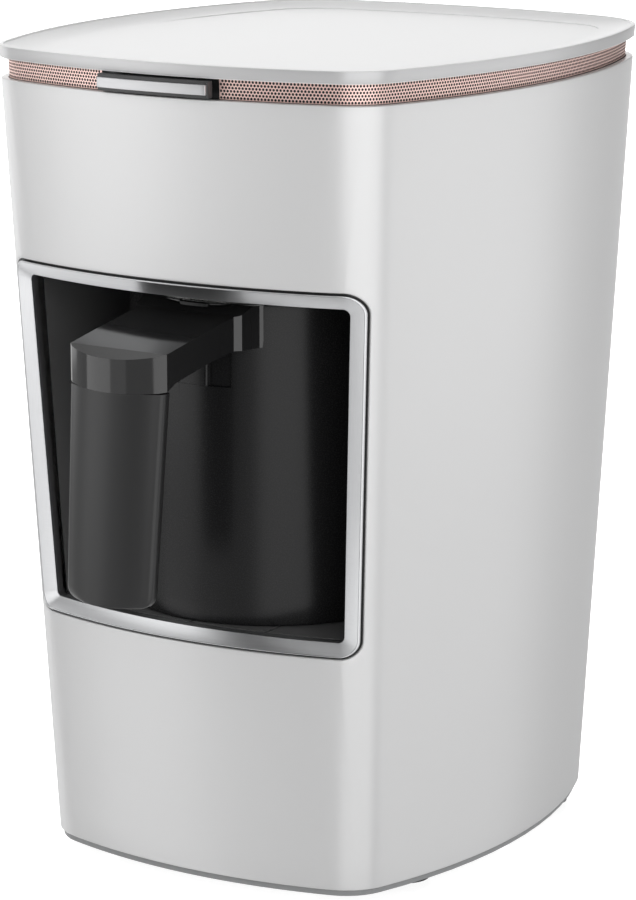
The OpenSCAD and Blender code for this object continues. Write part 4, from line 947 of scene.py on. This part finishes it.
# %% Cuts and soft edges
def combine(first, operation, second):
    """Unites, cuts or intersects two blocks and returns the result as a bmesh."""
    a, b = mesh_object("block", first), mesh_object("block", second)
    step = a.modifiers.new("combine", "BOOLEAN")
    step.operation, step.object, step.solver = operation, b, "EXACT"
    result = bmesh.new()
    result.from_object(a, bpy.context.evaluated_depsgraph_get())
    for used in (a, b):
        mesh = used.data
        bpy.data.objects.remove(used)
        bpy.data.meshes.remove(mesh)
    return result


def soften(obj, width, angle):
    """A narrow bevel along every edge that turns by more than the angle."""
    edge = obj.modifiers.new("soft edges", "BEVEL")
    edge.width, edge.segments, edge.limit_method = width, 2, "ANGLE"
    edge.angle_limit, edge.harden_normals = math.radians(angle), True
    edge.use_clamp_overlap = True
    obj.data.shade_smooth()


# %% [markdown]
# ## The pot's sizes
# The pot is an electric jug: a black jacket that narrows upwards, a collar that holds the steel cup, an
# arm that reaches out of the window, and a grip that hangs from the arm's nose. Everything is measured
# from the cup's axis.

# %% Places on the pot
arm_low, arm_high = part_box("handle_arm")
grip_low, grip_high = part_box("handle_grip")
jacket_low, jacket_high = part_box("pot_jacket")
rim_z, lip_z, collar_z = pot_high.z, arm_high.z, jacket_high.z
pot_narrowing, foot_gap, cup_flange, nose_drop = 2.4 * MM, 0.2 * MM, 3.4 * MM, 11.2 * MM
pot_z = jacket_low.z - foot_gap
pot_r = (jacket_high.x - jacket_low.x) / 2
cup_r = (pot_high.x - pot_low.x) / 2 - cup_flange
arm_front, arm_half = arm_low.y, 17.6 * MM
nose_low, nose_top = arm_low.z, rim_z - nose_drop
print("rim, lip and collar in mm:", [round(v / MM, 2) for v in (rim_z, lip_z, collar_z)])


def pot_radius(z):
    return pot_r - pot_narrowing * (z - pot_z) / (rim_z - pot_z)


# %% [markdown]
# ## The jacket
# The jacket is a cone with one feature: under the arm is a shallow recess with a rounded boss in it. A
# turned shape can't have that, so the grid's columns stand close together around the recess and each
# point's radius is lowered by a mask of its place. The rest of the grid stays regular.

# %% The jacket's radius and its columns
notch_half, notch_z, notch_depth, notch_edge = 13 * MM, pot_z + 75.2 * MM, 1.1 * MM, 0.25 * MM
boss_half, boss_round, boss_proud = 5.6 * MM, 1.0 * MM, 0.5 * MM
FINE_TURN, FINE_STEPS, COARSE_STEPS = 0.30, 150, 110
JACKET_ANGLES = evenly(-FINE_TURN, FINE_TURN, FINE_STEPS)
JACKET_ANGLES += evenly(FINE_TURN, 2 * math.pi - FINE_TURN, COARSE_STEPS)[1:-1]


def jacket_radius(x, z):
    """The cone's radius, less the recess, plus the boss in it."""
    inside = smooth_step(notch_half - abs(x), 0, notch_edge) * smooth_step(z - notch_z, 0, notch_edge)
    drop = (boss_half - abs(x)) / boss_round
    boss = math.sqrt(max(0.0, 1 - (1 - min(1.0, max(0.0, drop))) ** 2))
    return pot_radius(z) - inside * (notch_depth - boss * (notch_depth + boss_proud))


def jacket_ring(z, inset=0.0, plain=False):
    """A ring of the jacket; a plain one leaves out the recess."""
    ring = []
    for a in JACKET_ANGLES:
        r = pot_radius(z)
        if math.cos(a) > 0 and not plain:
            r = jacket_radius(r * math.sin(a), z)
        r -= inset
        ring.append(Vector((pot_axis.x + r * math.sin(a), pot_axis.y - r * math.cos(a), z)))
    return ring


print("columns of the jacket:", len(JACKET_ANGLES))

# %% The jacket
jacket_wall, jacket_edge, step_band = 1.4 * MM, 0.35 * MM, 0.3 * MM
LOWER_ROWS, STEP_ROWS, UPPER_ROWS, EDGE_ROWS = 12, 6, 14, 3
levels = evenly(jacket_low.z + jacket_edge, notch_z, LOWER_ROWS)[:-1]
levels += evenly(notch_z, notch_z + step_band, STEP_ROWS)
levels += evenly(notch_z + step_band, lip_z - jacket_edge, UPPER_ROWS)[1:]
rounding = [(jacket_edge * (1 - math.cos(a)), jacket_edge * (1 - math.sin(a)))
            for a in evenly(0, QUARTER, EDGE_ROWS)[1:]]
rows = [jacket_ring(jacket_low.z + rise, inset, True) for inset, rise in reversed(rounding)]
rows += [jacket_ring(z) for z in levels]
rows += [jacket_ring(lip_z - rise, inset, True) for inset, rise in rounding]
rows += [jacket_ring(z, jacket_wall, True) for z in (lip_z, jacket_low.z)]
jacket = bmesh.new()
sheet(jacket, rows + rows[:1], closed=True)
piece("jacket", jacket, "pot", POT, 30, ["pot_jacket"])

# %% [markdown]
# ## The collar and its arm
# Seen from above, the nose has a shallow round front with chamfered corners, the sides run straight back,
# and a concave fillet spreads each side onto the collar. Seen from the side, the top slopes down in
# three facets and the lower edge rises towards the collar.

# %% The arm's plan
nose_r, nose_chamfer, NOSE_STEPS = 30 * MM, 1.6 * MM, 24
root_facet, fillet_reach, fillet_bend = 1.9 * MM, 9.6 * MM, Vector((0.8 * MM, -1.0 * MM))
MEET_TURN, FACET_SLANT, FILLET_STEPS = math.radians(29), 0.9, 8
root_r = pot_radius(collar_z)
arm_root_half = 0.6 * (cup_r - 2 * MM)


def nose_arc(half, steps):
    """The round front from right to left, as x and the distance behind its foremost point."""
    reach = math.asin(half / nose_r)
    return [(nose_r * math.sin(a), nose_r * (1 - math.cos(a))) for a in evenly(reach, -reach, steps)]


def arm_plan():
    """Plan of the arm, with a concave fillet where each side meets the collar."""
    arc = [(x, arm_front + back) for x, back in nose_arc(arm_half - nose_chamfer, NOSE_STEPS)]
    side_y = arc[0][1] + nose_chamfer
    meet = Vector((root_r * math.sin(MEET_TURN), pot_axis.y - root_r * math.cos(MEET_TURN)))
    start = Vector((arm_half, meet.y - fillet_reach))
    step = start + root_facet * Vector((1, FACET_SLANT))
    bend = Vector((step.x, meet.y)) + fillet_bend
    fillet = [start] + [step * (1 - f) ** 2 + bend * 2 * f * (1 - f) + meet * f ** 2
                        for f in evenly(0, 1, FILLET_STEPS)]
    right = fillet + [(arm_root_half, pot_axis.y - arm_root_half)]
    left = [(-x, y) for x, y in right]
    return [(arm_half, side_y)] + arc + [(-arm_half, side_y)] + left + right[::-1]


print("corners of the arm's plan:", len(arm_plan()))

# %% The arm's side view
root, inside = pot_axis.y - root_r, pot_axis.y - cup_r / 2
ARM_SIDE = [
    # y: measured from and by how many millimetres; z: the same
    (arm_front, 0, nose_low, 0), (arm_front, 6, nose_low, 0.9), (arm_front, 11, nose_low, 3),
    (arm_front, 28, nose_low, 5.9), (root, -3.5, lip_z, -13.2), (inside, 0, lip_z, -13.2),
    (inside, 0, lip_z, 0), (root, 3, lip_z, 0), (root, -3, rim_z, -3.2), (arm_front, 19, rim_z, -6.9),
    (arm_front, 6.2, nose_top, 2.2), (arm_front, 0, nose_top, 0.2)]
arm_side = [(y + dy * MM, z + dz * MM) for y, dy, z, dz in ARM_SIDE]
print("corners of the arm's side:", len(arm_side))

# %% Cut the arm and unite it with the collar
spare, half_across, cut_below, cut_above = 5 * MM, 40 * MM, 20 * MM, 9 * MM
collar_r, inner_r, collar_top = pot_radius(lip_z) - 0.5 * MM, cup_r + 1.2 * MM, lip_z - 0.2 * MM
arm_edge, EDGE_ANGLE = 0.28 * MM, 7
arm = combine(prism(arm_plan(), (0, 1), nose_low - spare, rim_z + spare), "INTERSECT",
              prism(arm_side, (1, 2), -half_across, half_across))
collar = turned([(cup_r, collar_z), (collar_r, collar_z), (collar_r, collar_top), (cup_r, collar_top)],
                pot_axis)
arm = combine(collar, "UNION", arm)
arm = combine(arm, "DIFFERENCE", turned([(0, collar_z - cut_below), (inner_r, collar_z - cut_below),
                                         (inner_r, lip_z + cut_above), (0, lip_z + cut_above)], pot_axis))
soften(piece("collar_and_arm", arm, "pot", HANDLE, 180, ["handle_arm"]), arm_edge, EDGE_ANGLE)

# %% [markdown]
# ## The grip
# The grip hangs from the nose. It has the nose's round front, flat sides and a shallow round back, it
# leans forward a little, and it narrows towards a rounded foot. Its back stands far enough out to hide the
# screw that runs up through it.

# %% The grip's section
grip_top_half, grip_low_half, grip_edge = 17 * MM, 15.5 * MM, 1.3 * MM
grip_length = grip_high.z - grip_low.z
grip_forward, side_t, grip_depth = 4.85 * MM, 3.6 * MM, 14.3 * MM
grip_corner = [(0.22 * grip_edge, 0.28 * grip_edge), (0, 0.9 * grip_edge), (0, side_t)]
corner_in, back_in = 0.8 * grip_edge, 0.5 * grip_edge
GRIP_STEPS = 20


def grip_section(half):
    """Plan of the grip around its front's middle, with a rounded corner beside the front."""
    front = nose_arc(half - corner_in, GRIP_STEPS)
    front_y, back_half = front[0][1], half - back_in
    sag = grip_depth - front_y - side_t - back_in
    back_r = arc_radius(back_half, sag)
    back = [(x, grip_depth - back_r + math.sqrt(back_r ** 2 - x ** 2))
            for x in evenly(-back_half, back_half, GRIP_STEPS)]
    left = [(inward - half, front_y + behind) for inward, behind in grip_corner]
    return front + left + back + [(-x, y) for x, y in reversed(left)]


print("grip's length in mm:", round(grip_length / MM, 1))

# %% The grip
foot_r, foot_start, FOOT_STEPS, GRIP_ROWS = 4.2 * MM, math.radians(8), 8, 12
front_gap, top_overlap = 0.1 * MM, 0.3 * MM
heights = [(foot_r * (1 - math.sin(a)), foot_r * (1 - math.cos(a)))
           for a in evenly(QUARTER, foot_start, FOOT_STEPS)]
# the rounded foot takes the place of the lowest rows
heights += [(h, 0) for h in evenly(0, grip_length, GRIP_ROWS)[2:-1]] + [(grip_length + top_overlap, 0)]
rows = []
for h, draw in heights:
    half = grip_low_half + (grip_top_half - grip_low_half) * h / grip_length
    squeeze = (half - draw) / half
    front = arm_front + front_gap - grip_forward * (1 - h / grip_length)
    rows.append([Vector((x * squeeze, front + y, grip_low.z + h)) for x, y in grip_section(half)])
grip = bmesh.new()
closed_sheet(grip, rows)
piece("grip", grip, "pot", GRIP, 50, ["handle_grip"])


# %% [markdown]
# ## Light, floor and camera
# Satin paint and polished metal are read from what they mirror, so the room has bright and dim parts, as
# a studio has: a bright wall behind on the left, a pale ceiling, dim walls elsewhere, and soft panels
# where a highlight belongs. Most panels stand close to the floor, so that the upright faces stay even
# from top to bottom. The camera itself always sees plain white behind the object. It sees the floor white
# too, and mirrored in the metal the floor gives back about half of that.

# %% The room
class Room(Finish):
    """The world's node tree, with the same methods as a finish."""
    def __init__(self, world):
        world.use_nodes = True
        self.tree = world.node_tree
        self.background = self.tree.nodes["Background"]


world = bpy.data.worlds.new("plain room")
bpy.context.scene.world = world
room = Room(world)
ROOM_WHITE, ROOM_LIT, ROOM_DIM, CEILING, HORIZON = 1.0, 0.25, 0.12, 0.40, 1.95
PALE_WALL = (-0.53, 0.85, 0)
# where each part of the room ends, and how softly
WALL_EDGE, WALL_TOP, CEILING_EDGE = (0.93, 0.04), (0.34, 0.08), (0.85, 0.08)
seen = room.node("ShaderNodeLightPath", output="Is Camera Ray")
mirrored = room.node("ShaderNodeLightPath", output="Is Glossy Ray")
through = room.node("ShaderNodeLightPath", output="Is Transmission Ray")
heading = room.node("ShaderNodeTexCoord", output="Generated")
up = room.node("ShaderNodeSeparateXYZ", inputs={0: heading}, output="Z")
toward_wall = room.node("ShaderNodeVectorMath", {"operation": "DOT_PRODUCT"},
                        {0: heading, 1: PALE_WALL}, "Value")
horizon = toward_wall.above(*WALL_EDGE) * (1 - up.above(*WALL_TOP))
wall = ROOM_DIM + CEILING * up.above(*CEILING_EDGE) + HORIZON * horizon
shown = ROOM_LIT + (wall - ROOM_LIT) * seen.math("MAXIMUM", mirrored, through)
strength = shown + (ROOM_WHITE - shown) * seen
room.tree.links.new(strength.socket, room.background.inputs["Strength"])
room.background.inputs["Color"].default_value = (1, 1, 1, 1)
print("nodes of the room:", len(room.tree.nodes))


# %% The panels
LOW_PANEL, AIM_HEIGHT = 0.6, 0.2


def soft_panel(name, heading_deg, distance, height_z, size, power):
    """A panel around the object that faces it; 0 degrees is the front, 90 the right side.
    A low panel stands upright, a high one tips down towards the object."""
    lamp = bpy.data.lights.new(name, "AREA")
    lamp.shape, lamp.size, lamp.size_y, lamp.energy = "RECTANGLE", size[0], size[1], power
    obj = new_object(name, lamp)
    a = math.radians(heading_deg)
    obj.location = (distance * math.sin(a), -distance * math.cos(a), height_z)
    target = Vector((0, 0, height_z if height_z < LOW_PANEL else AIM_HEIGHT))
    obj.rotation_euler = (target - obj.location).to_track_quat("-Z", "Y").to_euler()
    obj.visible_camera = False


PANELS = [
    # name, heading, distance, height of its middle, size, power
    ("panel far left", -96, 0.62, 0.45, (0.40, 0.8), 1.10),
    ("panel left", -42, 0.62, 0.43, (0.36, 0.8), 1.32),
    ("strip in front", -17, 0.62, 0.43, (0.20, 0.8), 0.20),
    ("high panel in front", -8, 0.60, 0.78, (0.5, 0.3), 0.10),
    ("wide panel at the corner", 50, 0.64, 0.30, (0.72, 0.6), 2.08),
    ("panel right", 121, 0.64, 0.28, (0.66, 0.56), 0.90),
    ("panel above", -130, 0.70, 1.25, (1.3, 1.3), 6.2),
]
for panel in PANELS:
    soft_panel(*panel)
print("panels:", len(PANELS))

# %% The floor
FLOOR_HALF, FLOOR_MIRRORED = 6.0, 0.48
floor_mesh = bpy.data.meshes.new("floor")
floor_mesh.from_pydata([(x * FLOOR_HALF, y * FLOOR_HALF, 0) for x, y in ((-1, -1), (1, -1), (1, 1), (-1, 1))],
                       [], [(0, 1, 2, 3)])
floor = new_object("floor", floor_mesh)
floor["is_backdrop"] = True
pale = Finish("pale polished floor", (0.62, 0.62, 0.62), 0.18, Emission_Strength=0.92, Metallic=0.8)
watched = pale.node("ShaderNodeLightPath", output="Is Camera Ray")
reflected = pale.node("ShaderNodeLightPath", output="Is Glossy Ray")
glow = watched.math("MAXIMUM", watched, FLOOR_MIRRORED * reflected)
pale.paint("Emission Color", pale.mix(glow, (0, 0, 0), (1, 1, 1)))
floor_mesh.materials.append(pale.material)
print("floor in metres:", [round(v, 1) for v in floor.dimensions])

# %% The camera
TURN, TILT = math.radians(32.092), math.radians(12.712)
LENS, DISTANCE = 145.13, 1.16937
aim_x, aim_forward, aim_z = 11.068 * MM, 22.471 * MM, 130 * MM
aim_at = Vector((aim_x, middle_y - aim_forward, aim_z))
back = Vector((math.sin(TURN) * math.cos(TILT), -math.cos(TURN) * math.cos(TILT), math.sin(TILT)))
camera_data = bpy.data.cameras.new("camera")
camera_data.lens = LENS
camera = new_object("camera", camera_data)
camera.location = aim_at + back * DISTANCE
camera.rotation_euler = (-back).to_track_quat("-Z", "Y").to_euler()
bpy.context.scene.camera = camera
bpy.context.scene.view_settings.view_transform = "Standard"
print("camera at", [round(v, 4) for v in camera.location])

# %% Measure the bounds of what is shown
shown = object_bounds()
